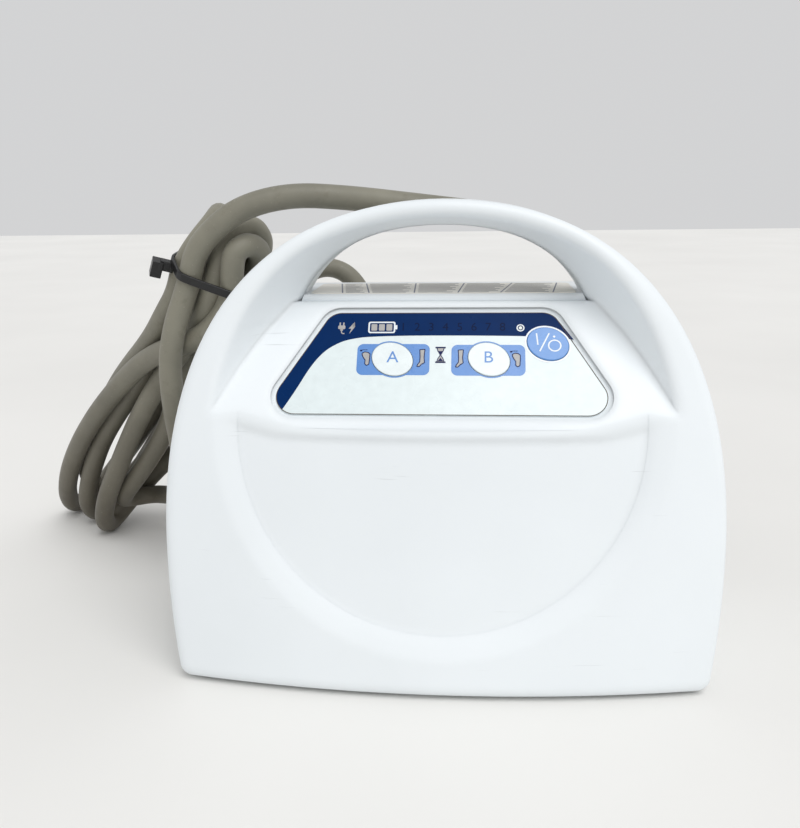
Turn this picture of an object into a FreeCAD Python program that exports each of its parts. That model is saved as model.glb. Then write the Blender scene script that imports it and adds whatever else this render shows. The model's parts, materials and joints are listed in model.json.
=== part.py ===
"""Bedside compression therapy pump: parametric FreeCAD document, one STEP file per sub-part.

Frame: +X to the right as seen from the front, +Y to the back, +Z up, millimetres.  The origin is
on the resting surface, below the centre of the pump's box.  Every size is a named cell of the
sheet "Sizes", and sub-parts are bound to those cells by expressions.
"""

import FreeCAD, Part
import math
import os

import Sketcher
from FreeCAD import Placement, Rotation, Vector

X_AXIS = Vector(1, 0, 0)
Y_AXIS = Vector(0, 1, 0)
Z_AXIS = Vector(0, 0, 1)

# Driving dimensions, in millimetres and degrees.
SIZES = {
    # whole pump
    "depth": 112.0,
    "height": 169.4,
    "widest_half_width": 98.0,
    "widest_height": 54.0,
    "base_half_width": 94.5,
    "base_corner_extra": 1.0,
    "arch_fullness": 0.64,
    "foot_stand": 1.2,
    "wall": 3.0,
    "cut_overrun": 1.0,
    "joint_overlap": 1.0,
    "seam_y": -6.0,
    # crowned front surface
    "front_bow_radius": 519.0,
    "front_lean_radius": 531.0,
    "front_lean_angle": 2.17,
    "front_edge_radius": 4.0,
    # recess for the controls, with the handle gap above it
    "lip_height": 94.5,
    "lip_depth": 16.5,
    "panel_tilt": 37.0,
    "panel_top_height": 133.6,
    "bowl_front_half_width": 94.7,
    "bowl_front_rise": 79.5,
    "bowl_front_fullness": 0.70,
    "bowl_back_half_width": 59.0,
    "bowl_back_rise": 66.0,
    "bowl_back_fullness": 0.68,
    "bowl_start_margin": 2.0,
    "bowl_rim_radius": 3.0,
    # round dish in the lower front
    "dish_centre_height": 94.0,
    "dish_outer_radius": 78.8,
    "dish_inner_half_width": 70.0,
    "dish_depth": 2.0,
    "dish_step": 0.1,
    # rear case
    "case_side_step": 3.0,
    "case_top_height": 136.0,
    "case_back_y": 41.0,
    "case_roof_break_y": 34.0,
    "case_roof_break_height": 121.0,
    "case_shoulder_radius": 14.0,
    "case_back_radius": 4.0,
    "case_ridge_radius": 2.5,
    "grip_back_y": 8.0,
    "grip_edge_radius": 4.5,
    "cavity_top_height": 128.0,
    # screw bosses that join the two halves
    "boss_radius": 4.5,
    "boss_low_x": 80.0,
    "boss_low_z": 24.0,
    "boss_high_x": 66.0,
    "boss_high_z": 104.0,
    "screw_radius": 1.5,
    "screw_head_radius": 3.0,
    "screw_head_height": 2.2,
    "screw_socket_radius": 1.3,
    "screw_socket_depth": 1.3,
    "screw_length": 26.0,
    "screw_sink": 12.0,
    "screw_hole_spare": 1.0,
    "screw_clearance": 0.2,
    "thread_clearance": 0.05,
    # feet
    "foot_radius": 6.5,
    "foot_thickness": 2.2,
    "foot_chamfer": 0.5,
    "foot_x": 72.0,
    "foot_front_y": -33.0,
    "foot_back_y": 28.0,
    "foot_clearance": 0.2,
    # control overlay in its pocket, on the tilted floor of the recess
    "pocket_depth": 1.2,
    "pocket_margin": 1.8,
    "overlay_thickness": 0.5,
    "overlay_bottom": 5.3,
    "overlay_top": 44.9,
    "overlay_bottom_half_width": 62.2,
    "overlay_top_half_width": 39.4,
    "overlay_low_radius": 7.0,
    "overlay_high_radius": 6.5,
    # oval keys
    "key_half_length": 7.45,
    "key_half_height": 6.2,
    "key_turn": -25.0,
    "key_clearance": 0.25,
    "key_proud": 0.5,
    "key_flange": 1.2,
    "key_flange_thickness": 0.8,
    "key_edge_radius": 0.3,
    "key_travel": 0.5,
    "key_gap": 0.1,
    "channel_key_x": 16.9,
    "channel_key_rise": 26.4,
    "power_key_x": 37.4,
    "power_key_rise": 32.4,
    # status light
    "light_x": 28.0,
    "light_rise": 38.7,
    "light_radius": 1.4,
    "light_flange_radius": 2.4,
    "light_flange_thickness": 1.0,
    "light_clearance": 0.1,
    "light_proud": 0.2,
    "light_board_gap": 1.0,
    # display board behind the recess floor
    "board_thickness": 1.6,
    "display_board_half_width": 50.0,
    "display_board_bottom": 13.0,
    "display_board_top": 44.0,
    "display_board_drop": 9.0,
    "display_post_radius": 2.6,
    "display_post_inset": 4.0,
    "display_post_sink": 0.5,
    "pin_clearance": 0.1,
    "pin_proud": 1.0,
    "board_hole_radius": 1.3,
    "switch_side": 6.0,
    "switch_height": 3.4,
    "switch_cap_radius": 1.7,
    "switch_touch_gap": 0.05,
    "digit_window_margin": 1.5,
    "digit_count": 8,
    "digit_first_x": -13.5,
    "digit_pitch": 5.03,
    "digit_width": 3.6,
    "digit_length": 6.0,
    "digit_height": 5.0,
    # label plate on the rear case
    "label_half_width": 48.5,
    "label_front_gap": 0.5,
    "label_length": 31.5,
    "label_thickness": 0.3,
    "label_corner_radius": 3.0,
    # chassis plate and what it carries
    "chassis_front_y": -4.0,
    "chassis_thickness": 1.5,
    "chassis_half_width": 58.0,
    "chassis_bottom": 10.0,
    "chassis_top": 118.0,
    "chassis_post_x": 52.0,
    "chassis_post_low_z": 16.0,
    "chassis_post_high_z": 108.0,
    "chassis_post_radius": 4.0,
    "chassis_window_right": -2.0,
    "chassis_window_bottom": 24.0,
    "chassis_window_top": 38.0,
    "main_board_left": -48.0,
    "main_board_right": 14.0,
    "main_board_bottom": 46.0,
    "main_board_top": 104.0,
    "main_board_spacing": 6.0,
    "standoff_radius": 2.6,
    "standoff_inset": 4.0,
    "supply_left": 20.0,
    "supply_right": 46.0,
    "supply_bottom": 46.0,
    "supply_top": 100.0,
    "supply_depth": 20.0,
    "supply_edge_radius": 1.5,
    "processor_side": 14.0,
    "processor_height": 1.8,
    "capacitor_radius": 4.0,
    "capacitor_height": 11.0,
    "capacitor_count": 3,
    "capacitor_gap": 2.0,
    "header_length": 18.0,
    "header_width": 5.0,
    "header_height": 7.0,
    # battery with its door in the base
    "battery_left": -2.0,
    "battery_right": 46.0,
    "battery_front_y": 6.0,
    "battery_back_y": 34.0,
    "battery_height": 26.0,
    "battery_edge_radius": 4.0,
    "door_inset": 4.0,
    "door_clearance": 0.3,
    "door_notch_radius": 5.0,
    # compressor
    "motor_radius": 15.0,
    "motor_length": 40.0,
    "motor_left": 0.0,
    "compressor_gap": 6.0,
    "compressor_z": 38.0,
    "shaft_radius": 2.0,
    "shaft_clearance": 0.06,
    "shaft_overhang": 14.0,
    "shaft_inset": 3.0,
    "eccentric_radius": 8.0,
    "eccentric_thickness": 6.0,
    "eccentric_offset": 2.5,
    "eccentric_clearance": 0.5,
    "pump_head_width": 22.0,
    "pump_head_height": 40.0,
    "pump_head_depth": 30.0,
    "pump_nipple_radius": 2.4,
    "pump_nipple_offset": 4.0,
    "mount_radius": 4.0,
    "mount_inset": 7.0,
    "motor_foot_thickness": 4.0,
    "motor_foot_half_height": 10.0,
    "motor_foot_inset": 3.0,
    # valve manifold
    "manifold_half_length": 66.0,
    "manifold_bottom": 66.0,
    "manifold_top": 80.0,
    "manifold_front_y": -22.0,
    "manifold_edge_radius": 1.5,
    "valve_count": 6,
    "valve_pitch": 18.5,
    "coil_side": 13.0,
    "coil_length": 14.0,
    "plunger_radius": 2.2,
    "plunger_length": 12.0,
    "plunger_clearance": 0.08,
    "plunger_end_gap": 0.1,
    "plunger_travel": 0.8,
    # air tubes and the two three-way tube sockets
    "tube_radius": 2.4,
    "tube_bend_radius": 5.0,
    "tube_rise_inset": 9.0,
    "port_x": 17.0,
    "port_middle_x": -38.0,
    "port_z": 44.0,
    "port_width": 28.0,
    "port_height": 13.0,
    "port_flange": 1.5,
    "port_flange_thickness": 1.5,
    "port_depth": 12.0,
    "port_proud": 4.0,
    "port_bore_radius": 2.8,
    "port_bore_pitch": 8.0,
    "port_bore_depth": 9.0,
    "port_clearance": 0.2,
    "port_corner_radius": 4.0,
    # mains inlet
    "inlet_x": 24.0,
    "inlet_z": 50.0,
    "inlet_width": 28.0,
    "inlet_height": 22.0,
    "inlet_flange": 3.0,
    "inlet_flange_thickness": 2.0,
    "inlet_depth": 16.0,
    "inlet_wall": 1.8,
    "inlet_floor": 3.0,
    "inlet_clearance": 0.2,
    "inlet_pin_width": 2.0,
    "inlet_pin_height": 4.0,
    "inlet_pin_length": 9.0,
    "inlet_pin_pitch": 7.0,
    # cooling fan behind the vent slots
    "fan_x": -38.0,
    "fan_z": 80.0,
    "fan_side": 40.0,
    "fan_thickness": 10.0,
    "fan_bore_radius": 18.5,
    "fan_hub_radius": 9.0,
    "fan_blade_count": 7,
    "fan_blade_reach": 17.6,
    "fan_blade_length": 6.0,
    "fan_blade_thickness": 1.2,
    "fan_blade_sweep": 5.0,
    "fan_hub_length": 7.0,
    "fan_hub_gap": 0.3,
    "fan_blade_inset": 0.5,
    "fan_axle_radius": 1.5,
    "fan_axle_inset": 1.0,
    "fan_axle_clearance": 0.06,
    "fan_strut_width": 3.0,
    "fan_strut_thickness": 1.5,
    "vent_slot_count": 6,
    "vent_slot_height": 2.5,
    "vent_slot_pitch": 5.5,
    "vent_slot_half_length": 15.0,
    # speaker
    "speaker_x": -30.0,
    "speaker_z": 98.0,
    "speaker_radius": 10.0,
    "speaker_thickness": 6.0,
    # swivelling bed hooks
    "hook_x": 70.0,
    "hook_pivot_y": 49.0,
    "hook_rod_radius": 3.0,
    "hook_bore_clearance": 0.08,
    "hook_bracket_wall": 3.92,
    "hook_bracket_bottom": 84.0,
    "hook_bracket_length": 20.0,
    "hook_base_width": 18.0,
    "hook_base_thickness": 3.0,
    "hook_base_overhang": 4.0,
    "hook_collar_radius": 4.8,
    "hook_collar_thickness": 2.0,
    "hook_collar_gap": 0.15,
    "hook_neck": 4.0,
    "hook_bend_radius": 7.0,
    "hook_reach": 33.0,
    "hook_drop": 24.0,
    "hook_sleeve_radius": 4.4,
    "hook_sleeve_length": 12.0,
    # mains connector, cord, tie and plug
    "connector_clearance": 0.3,
    "connector_grip_margin": 3.0,
    "connector_grip_length": 24.0,
    "connector_edge_radius": 3.0,
    "boot_length": 28.0,
    "boot_radius": 8.0,
    "boot_tip_clearance": 0.9,
    "cord_radius": 4.7,
    "plug_x": -66.0,
    "plug_y": 116.0,
    "plug_length": 36.0,
    "plug_width": 34.0,
    "plug_height": 26.0,
    "plug_edge_radius": 6.0,
    "plug_stand": 0.5,
    "plug_boot_radius": 8.5,
    "blade_length": 17.0,
    "blade_width": 6.3,
    "blade_thickness": 1.5,
    "blade_spacing": 12.7,
    "blade_rise": 3.0,
    "ground_pin_radius": 2.4,
    "ground_pin_length": 20.0,
    "ground_pin_drop": 8.0,
    "blade_root": 4.0,
    "tie_x": -94.4,
    "tie_y": 30.3,
    "tie_bottom": 138.0,
    "tie_width": 4.6,
    "tie_thickness": 1.3,
    "tie_gap": 0.3,
    "tie_margin": 1.0,
    "tie_head_length": 9.0,
    "tie_head_width": 6.0,
    "tie_bundle_radius": 17.5,
}


class Dim:
    """A size with its number and the sheet expression that gives the number."""

    def __init__(self, value, text):
        self.value = float(value)
        self.text = text

    def __add__(self, other):
        other = dim(other)
        return Dim(self.value + other.value, f"({self.text} + {other.text})")

    def __radd__(self, other):
        return dim(other) + self

    def __sub__(self, other):
        other = dim(other)
        return Dim(self.value - other.value, f"({self.text} - {other.text})")

    def __rsub__(self, other):
        return dim(other) - self

    def __mul__(self, other):
        other = dim(other)
        return Dim(self.value * other.value, f"({self.text} * {other.text})")

    def __rmul__(self, other):
        return dim(other) * self

    def __truediv__(self, other):
        other = dim(other)
        return Dim(self.value / other.value, f"({self.text} / {other.text})")

    def __neg__(self):
        return Dim(-self.value, f"(0 - {self.text})")

    def __float__(self):
        return self.value


def dim(value):
    """A Dim stays as it is, and a plain number becomes one."""
    if isinstance(value, Dim):
        return value
    return Dim(value, f"({float(value)!r})")


def cosine(angle):
    return Dim(math.cos(math.radians(angle.value)), f"cos({angle.text})")


def sine(angle):
    return Dim(math.sin(math.radians(angle.value)), f"sin({angle.text})")


def root(value):
    return Dim(math.sqrt(value.value), f"sqrt({value.text})")


class Sizes:
    """Reads the driving dimensions back from the sheet, as Dim values."""

    def __init__(self, document):
        self._sheet = document.addObject("Spreadsheet::Sheet", "Sizes")
        for row, (name, value) in enumerate(SIZES.items(), start=1):
            self._sheet.set(f"A{row}", name)
            self._sheet.set(f"B{row}", repr(value))
            self._sheet.setAlias(f"B{row}", name)
        document.recompute()

    def __getattr__(self, name):
        return Dim(getattr(self._sheet, name), f"Sizes.{name}")


doc = FreeCAD.newDocument("CompressionPump")
s = Sizes(doc)
NODES = []

# Sizes that follow from the driving ones.
front_y = -s.depth / 2
back_y = s.depth / 2
base_z = s.foot_stand
lip_y = front_y + s.lip_depth
panel_end_y = lip_y + (s.panel_top_height - s.lip_height) * sine(s.panel_tilt) / cosine(s.panel_tilt)
case_inside_back_y = s.case_back_y - s.wall
chassis_back_y = s.chassis_front_y + s.chassis_thickness


# ---------------------------------------------------------------- document helpers

def finish_node(obj, name):
    """Give a finished sub-part its label and list it for export."""
    obj.Label = name
    NODES.append(obj)
    return obj


def bind(obj, prop, value):
    obj.setExpression(prop, dim(value).text)


def place(obj, x=0, y=0, z=0, axis=None, angle=0):
    """Bind an object's place, and its turn about one axis, to the sheet."""
    if axis is not None:
        obj.Placement = Placement(Vector(), Rotation(axis, dim(angle).value))
        bind(obj, "Placement.Rotation.Angle", angle)
    for coordinate, value in zip("xyz", (x, y, z)):
        bind(obj, "Placement.Base." + coordinate, value)
    return obj


def on_panel(obj, x=0, rise=0, proud=0, turn=0):
    """Place an object with its XY plane proud of the recess floor, x across and rise up the slope."""
    x, rise, proud, turn = dim(x), dim(rise), dim(proud), dim(turn)
    y = lip_y + rise * sine(s.panel_tilt) - proud * cosine(s.panel_tilt)
    z = s.lip_height + rise * cosine(s.panel_tilt) + proud * sine(s.panel_tilt)
    tilt = f"rotation(vector(1; 0; 0); {(90 - s.panel_tilt).text})"
    spin = f"rotation(vector(0; 0; 1); {turn.text})"
    obj.setExpression("Placement", f"placement(vector({x.text}; {y.text}; {z.text}); {tilt} * {spin})")
    return obj


def box(name, length, width, height):
    obj = doc.addObject("Part::Box", name)
    for prop, value in (("Length", length), ("Width", width), ("Height", height)):
        bind(obj, prop, value)
    return obj


def box_between(name, low, high):
    """A box from its low corner to its high corner."""
    obj = box(name, *(h - l for l, h in zip(map(dim, low), map(dim, high))))
    return place(obj, *low)


def cylinder(name, radius, height, x=0, y=0, z=0, axis=None, angle=0):
    obj = doc.addObject("Part::Cylinder", name)
    bind(obj, "Radius", radius)
    bind(obj, "Height", height)
    return place(obj, x, y, z, axis, angle)


def along_y(name, radius, length, x, y, z):
    """A cylinder that starts at (x, y, z) and runs towards +Y."""
    return cylinder(name, radius, length, x, y, z, X_AXIS, -90)


def along_x(name, radius, length, x, y, z):
    """A cylinder that starts at (x, y, z) and runs towards +X."""
    return cylinder(name, radius, length, x, y, z, Y_AXIS, 90)


def fuse(name, *parts):
    obj = doc.addObject("Part::MultiFuse", name)
    obj.Shapes = list(parts)
    obj.Refine = True
    return obj


def cut(name, base, *tools):
    obj = doc.addObject("Part::Cut", name)
    obj.Base = base
    obj.Tool = tools[0] if len(tools) == 1 else fuse(name + "_cuts", *tools)
    return obj


def group(name, *parts):
    """Separate solids that share one node."""
    obj = doc.addObject("Part::Compound", name)
    obj.Links = list(parts)
    return obj


def feature(name, shape):
    """An object whose shape is worked out from the sheet by this file."""
    obj = doc.addObject("Part::Feature", name)
    obj.Shape = shape
    return obj


def new_body(name):
    return doc.addObject("PartDesign::Body", name)


def origin_plane(body, role):
    return next(item for item in body.Origin.OriginFeatures if item.Role == role)


def new_sketch(body, role, offset=0):
    """A sketch on one of the body's own planes, moved along the plane's normal by offset."""
    sketch = body.newObject("Sketcher::SketchObject", body.Name + "_sketch")
    sketch.AttachmentSupport = [(origin_plane(body, role), "")]
    sketch.MapMode = "FlatFace"
    bind(sketch, "AttachmentOffset.Base.z", offset)
    return sketch


def pin_point(sketch, item, point, x, y):
    """Hold one sketch point at (x, y) from the sketch origin."""
    for kind, value, axis in (("DistanceX", dim(x), -2), ("DistanceY", dim(y), -1)):
        if value.value == 0:
            sketch.addConstraint(Sketcher.Constraint("PointOnObject", item, point, axis))
            continue
        index = sketch.addConstraint(Sketcher.Constraint(kind, -1, 1, item, point, value.value))
        sketch.setExpression(f"Constraints[{index}]", value.text)


def draw_polygon(sketch, points):
    """A closed outline of straight lines, every corner held by its own two distances."""
    corners = [(dim(x), dim(y)) for x, y in points]
    items = []
    for (x1, y1), (x2, y2) in zip(corners, corners[1:] + corners[:1]):
        line = Part.LineSegment(Vector(x1.value, y1.value, 0), Vector(x2.value, y2.value, 0))
        items.append(sketch.addGeometry(line))
    for item, after in zip(items, items[1:] + items[:1]):
        sketch.addConstraint(Sketcher.Constraint("Coincident", item, 2, after, 1))
    for item, (x, y) in zip(items, corners):
        pin_point(sketch, item, 1, x, y)


def draw_rectangle(sketch, left, bottom, right, top):
    draw_polygon(sketch, [(left, bottom), (right, bottom), (right, top), (left, top)])


def draw_circle(sketch, x, y, radius):
    centre = Vector(dim(x).value, dim(y).value, 0)
    item = sketch.addGeometry(Part.Circle(centre, Z_AXIS, dim(radius).value))
    index = sketch.addConstraint(Sketcher.Constraint("Radius", item, dim(radius).value))
    sketch.setExpression(f"Constraints[{index}]", dim(radius).text)
    pin_point(sketch, item, 3, x, y)


def pad(body, sketch, length, reversed_way=False):
    item = body.newObject("PartDesign::Pad", body.Name + "_pad")
    item.Profile = sketch
    item.Reversed = reversed_way
    bind(item, "Length", length)
    doc.recompute()
    return item


def pocket(body, sketch, length, reversed_way=False):
    before = body.Shape.Volume
    item = body.newObject("PartDesign::Pocket", body.Name + "_pocket")
    item.Profile = sketch
    item.Reversed = reversed_way
    bind(item, "Length", length)
    doc.recompute()
    if body.Shape.Volume >= before:
        raise RuntimeError(f"{item.Name} removes nothing")
    return item


def revolve(body, sketch):
    """Turn a profile about the sketch's vertical axis."""
    item = body.newObject("PartDesign::Revolution", body.Name + "_revolution")
    item.Profile = sketch
    item.ReferenceAxis = (sketch, ["V_Axis"])
    item.Angle = 360.0
    doc.recompute()
    return item


def round_edges(body, chosen, radius):
    """Fillet the body's edges for which chosen(edge) is true."""
    base = body.Tip
    names = [f"Edge{i}" for i, edge in enumerate(base.Shape.Edges, start=1) if chosen(edge)]
    if not names:
        raise RuntimeError(f"{body.Name} has no such edges")
    item = body.newObject("PartDesign::Fillet", body.Name + "_fillet")
    item.Base = (base, names)
    bind(item, "Radius", radius)
    doc.recompute()
    return item


def edge_along(direction):
    """True for straight edges parallel to direction."""
    def test(edge):
        if not isinstance(edge.Curve, Part.Line):
            return False
        return abs(edge.Curve.Direction.dot(direction)) > 0.999
    return test


def edge_at(axis, level):
    """True for edges that lie wholly at one level along an axis."""
    def test(edge):
        box_ = edge.BoundBox
        low = {"x": box_.XMin, "y": box_.YMin, "z": box_.ZMin}[axis]
        high = {"x": box_.XMax, "y": box_.YMax, "z": box_.ZMax}[axis]
        return abs(low - level) < 1e-4 and abs(high - level) < 1e-4
    return test


def rounded_plate(name, left, bottom, right, top, thickness, radius):
    """A plate in the XY plane with rounded corners, thickness towards +Z."""
    body = new_body(name)
    sketch = new_sketch(body, "XY_Plane")
    draw_rectangle(sketch, left, bottom, right, top)
    pad(body, sketch, thickness)
    round_edges(body, edge_along(Z_AXIS), radius)
    return body


def revolved(name, profile):
    """A body turned about its own Z axis from a profile of (radius, height) points."""
    body = new_body(name)
    sketch = new_sketch(body, "XZ_Plane")
    draw_polygon(sketch, profile)
    revolve(body, sketch)
    return body


def oval_prism(name, half_length, half_height, thickness):
    """An upright prism on an ellipse in the XY plane."""
    ellipse = doc.addObject("Part::Ellipse", name + "_outline")
    bind(ellipse, "MajorRadius", half_length)
    bind(ellipse, "MinorRadius", half_height)
    obj = doc.addObject("Part::Extrusion", name)
    obj.Base = ellipse
    obj.DirMode = "Custom"
    obj.Dir = Z_AXIS
    obj.Solid = True
    bind(obj, "LengthFwd", thickness)
    return obj


# ---------------------------------------------------------------- shell geometry

def arch_curves(half_width, spring, top, fullness, y):
    """The right and left halves of a full arch: two cubic curves that meet level at the crown."""
    rise = top - spring
    right = Part.BezierCurve()
    right.setPoles([
        Vector(half_width, y, spring),
        Vector(half_width, y, spring + fullness * rise),
        Vector(fullness * half_width, y, top),
        Vector(0, y, top),
    ])
    left = Part.BezierCurve()
    left.setPoles([Vector(-pole.x, y, pole.z) for pole in reversed(right.getPoles())])
    return right, left


def case_outline(inset, floor_inset, y):
    """The pump's front view as a face at y: flat base, bulged sides and a full arch on top."""
    half = s.widest_half_width.value - inset
    foot = s.base_half_width.value - inset
    bottom = base_z.value + floor_inset
    spring = s.widest_height.value
    corner = (s.front_edge_radius + s.base_corner_extra).value
    right, left = arch_curves(half, spring, s.height.value - inset, s.arch_fullness.value, y)
    # the lower side is part of a circle that stands upright at the widest height
    drop = spring - bottom
    sag = half - foot
    radius = (drop ** 2 + sag ** 2) / (2 * sag)
    # the corner circle touches the base line and the side circle from within
    centre = Vector(
        half - radius + math.sqrt((radius - corner) ** 2 - (drop - corner) ** 2), y, bottom + corner
    )
    knee = Vector(centre.x, y, bottom)
    outward = math.atan2(centre.z - spring, centre.x - half + radius)

    def on_circle(middle_x, middle_z, size, angle):
        return Vector(middle_x + size * math.cos(angle), y, middle_z + size * math.sin(angle))

    low = on_circle(centre.x, centre.z, corner, outward)
    bend = on_circle(centre.x, centre.z, corner, (outward - math.pi / 2) / 2)
    middle = on_circle(half - radius, spring, radius, outward / 2)
    side = Part.Arc(low, middle, Vector(half, y, spring))
    mirrored = Part.Arc(
        Vector(-half, y, spring), Vector(-middle.x, y, middle.z), Vector(-low.x, y, low.z)
    )
    corner_right = Part.Arc(knee, bend, low)
    corner_left = Part.Arc(
        Vector(-low.x, y, low.z), Vector(-bend.x, y, bend.z), Vector(-knee.x, y, knee.z)
    )
    base = Part.LineSegment(Vector(-knee.x, y, knee.z), knee)
    curves = (base, corner_right, side, right, left, mirrored, corner_left)
    return Part.Face(Part.Wire([curve.toShape() for curve in curves]))


def behind_front(inset):
    """Everything behind the crowned front surface, moved back by inset: a turned solid."""
    lean = s.front_lean_radius.value - inset
    start = math.radians(s.front_lean_angle.value)
    centre_y = front_y.value + s.front_lean_radius.value * math.cos(start)
    centre_z = -s.front_lean_radius.value * math.sin(start)
    axis_y = front_y.value + s.front_bow_radius.value
    margin = 10.0
    levels = (-margin, s.height.value / 2, s.height.value + margin)
    arc_points = [Vector(0, centre_y - math.sqrt(lean ** 2 - (z - centre_z) ** 2), z) for z in levels]
    low, high = arc_points[0], arc_points[-1]
    edges = [
        Part.Arc(*arc_points).toShape(),
        Part.makeLine(high, Vector(0, axis_y, high.z)),
        Part.makeLine(Vector(0, axis_y, high.z), Vector(0, axis_y, low.z)),
        Part.makeLine(Vector(0, axis_y, low.z), low),
    ]
    half_angle = 15.0
    face = Part.Face(Part.Wire(edges))
    face.rotate(Vector(0, axis_y, 0), Z_AXIS, -half_angle)
    return face.revolve(Vector(0, axis_y, 0), Z_AXIS, 2 * half_angle)


def crowned_block(inset, back):
    """The front half's outside, or its inside when inset is the wall."""
    reach = back - front_y.value + s.cut_overrun.value
    block = case_outline(inset, inset, back).extrude(Vector(0, -reach, 0))
    return block.common(behind_front(inset))


def round_front(block, radius):
    """Round the rim where the crowned front meets the sides."""
    front = next(face for face in block.Faces if isinstance(face.Surface, Part.SurfaceOfRevolution))
    return block.makeFillet(radius, front.Edges)


def bowl_space(grow):
    """The space of the control recess and the handle gap, grown by grow on every side."""
    start = front_y.value - s.bowl_start_margin.value
    end = s.seam_y.value
    lip = s.lip_height.value - grow
    span = end - start
    sections = []
    for y, half_width, rise, fullness in (
        (start, s.bowl_front_half_width, s.bowl_front_rise, s.bowl_front_fullness),
        (end, s.bowl_back_half_width, s.bowl_back_rise, s.bowl_back_fullness),
    ):
        reach = half_width.value + grow
        top = (s.lip_height + rise).value + grow
        right, left = arch_curves(reach, lip, top, fullness.value, y)
        base = Part.LineSegment(Vector(-reach, y, lip), Vector(reach, y, lip))
        sections.append(Part.Wire([curve.toShape() for curve in (base, right, left)]))
    cone = Part.makeLoft(sections, True, True)
    # the floor block stands behind the tilted floor and below the floor's top edge
    tilt = math.radians(s.panel_tilt.value)
    shift_y = grow / math.cos(tilt)
    top = s.panel_top_height.value - grow
    floor_low = Vector(0, lip_y.value + shift_y - grow * math.tan(tilt), lip)
    floor_high = Vector(0, floor_low.y + (top - lip) * math.tan(tilt), top)
    far = span + s.depth.value
    corners = [
        floor_low, floor_high, Vector(0, far, top),
        Vector(0, far, lip - far), Vector(0, floor_low.y, lip - far)
    ]
    half = (s.widest_half_width + s.cut_overrun).value + grow
    prism = Part.Face(Part.makePolygon([corner - X_AXIS * half for corner in corners + corners[:1]]))
    return cone.cut(prism.extrude(X_AXIS * 2 * half))


def dish_space():
    """The shallow round dish below the lip: flat-bottomed, with a broad sloping edge."""
    reach = s.lip_depth.value + s.dish_outer_radius.value
    centre = Vector(0, (front_y - s.cut_overrun).value, s.dish_centre_height.value)
    disc = Part.makeCylinder(s.dish_inner_half_width.value, reach, centre, Y_AXIS)
    return disc.cut(behind_front(s.dish_depth.value))


def surfaces_beside(shape, edge):
    """The kinds of surface on the two sides of an edge."""
    return {type(face.Surface) for face in shape.ancestorsOfType(edge, Part.Face)}


def bowl_rim(shape):
    """The two long edges where the crowned front turns into the recess walls."""
    wanted = {Part.BSplineSurface, Part.SurfaceOfRevolution}
    inside = (s.widest_half_width - s.front_edge_radius).value
    level = (s.lip_height + s.cut_overrun).value
    long_edge = s.bowl_back_rise.value
    return [
        edge for edge in shape.Edges
        if surfaces_beside(shape, edge) == wanted
        and edge.BoundBox.ZMin > level
        and edge.Length > long_edge
        and max(abs(edge.BoundBox.XMin), abs(edge.BoundBox.XMax)) < inside
    ]


def dish_rim(shape):
    """The edge of the straight-sided dish in the crowned front."""
    wanted = {Part.Cylinder, Part.SurfaceOfRevolution}
    front = max(
        (face for face in shape.Faces if isinstance(face.Surface, Part.SurfaceOfRevolution)),
        key=lambda face: face.BoundBox.ZMax,
    )
    return [edge for edge in front.Edges if surfaces_beside(shape, edge) == wanted]


def column(radius, start, end, x, z):
    """A round column along Y from start to end."""
    return Part.makeCylinder(radius, end - start, Vector(x, start, z), Y_AXIS)


def slab(bottom, top):
    """A block wider than the pump between two heights."""
    half = s.widest_half_width.value + s.depth.value
    return Part.makeBox(2 * half, 2 * half, top - bottom, Vector(-half, -half, bottom))


def boss_places():
    """The four screw columns that join the halves, as (x, z)."""
    low = (s.boss_low_x.value, s.boss_low_z.value)
    high = (s.boss_high_x.value, s.boss_high_z.value)
    return [(side * x, z) for x, z in (low, high) for side in (-1, 1)]


def post_places():
    """The four chassis posts of the rear case, as (x, z)."""
    x = s.chassis_post_x.value
    heights = (s.chassis_post_low_z.value, s.chassis_post_high_z.value)
    return [(side * x, z) for z in heights for side in (-1, 1)]


def front_shell_blank():
    """The moulded front half before the pocket and holes of the control panel are cut."""
    seam = s.seam_y.value
    wall = s.wall.value
    shape = round_front(crowned_block(0, seam), s.front_edge_radius.value).cut(bowl_space(0))
    shape = shape.makeFillet(s.bowl_rim_radius.value, bowl_rim(shape))
    shape = shape.cut(dish_space())
    band = (s.dish_outer_radius - s.dish_inner_half_width).value
    slope = (s.dish_depth - s.dish_step).value
    shape = shape.makeChamfer(band, slope, dish_rim(shape))
    cavity = crowned_block(wall, seam).common(slab(0, s.cavity_top_height.value)).cut(bowl_space(wall))
    for x, z in boss_places():
        cavity = cavity.cut(column(s.boss_radius.value, front_y.value, seam, x, z))
    shape = shape.cut(cavity)
    for x, z in boss_places():
        hole = (s.screw_radius + s.thread_clearance).value
        start = seam - (s.screw_sink + s.screw_hole_spare).value
        shape = shape.cut(column(hole, start, seam, x, z))
    return shape


def spans_y(edge):
    """True for an edge that runs straight along Y."""
    box_ = edge.BoundBox
    return box_.YLength > 1.0 and box_.XLength < 1e-3 and box_.ZLength < 1e-3


def spans_x(edge):
    """True for an edge that runs straight along X."""
    box_ = edge.BoundBox
    return box_.XLength > 1.0 and box_.YLength < 1e-3 and box_.ZLength < 1e-3


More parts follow.
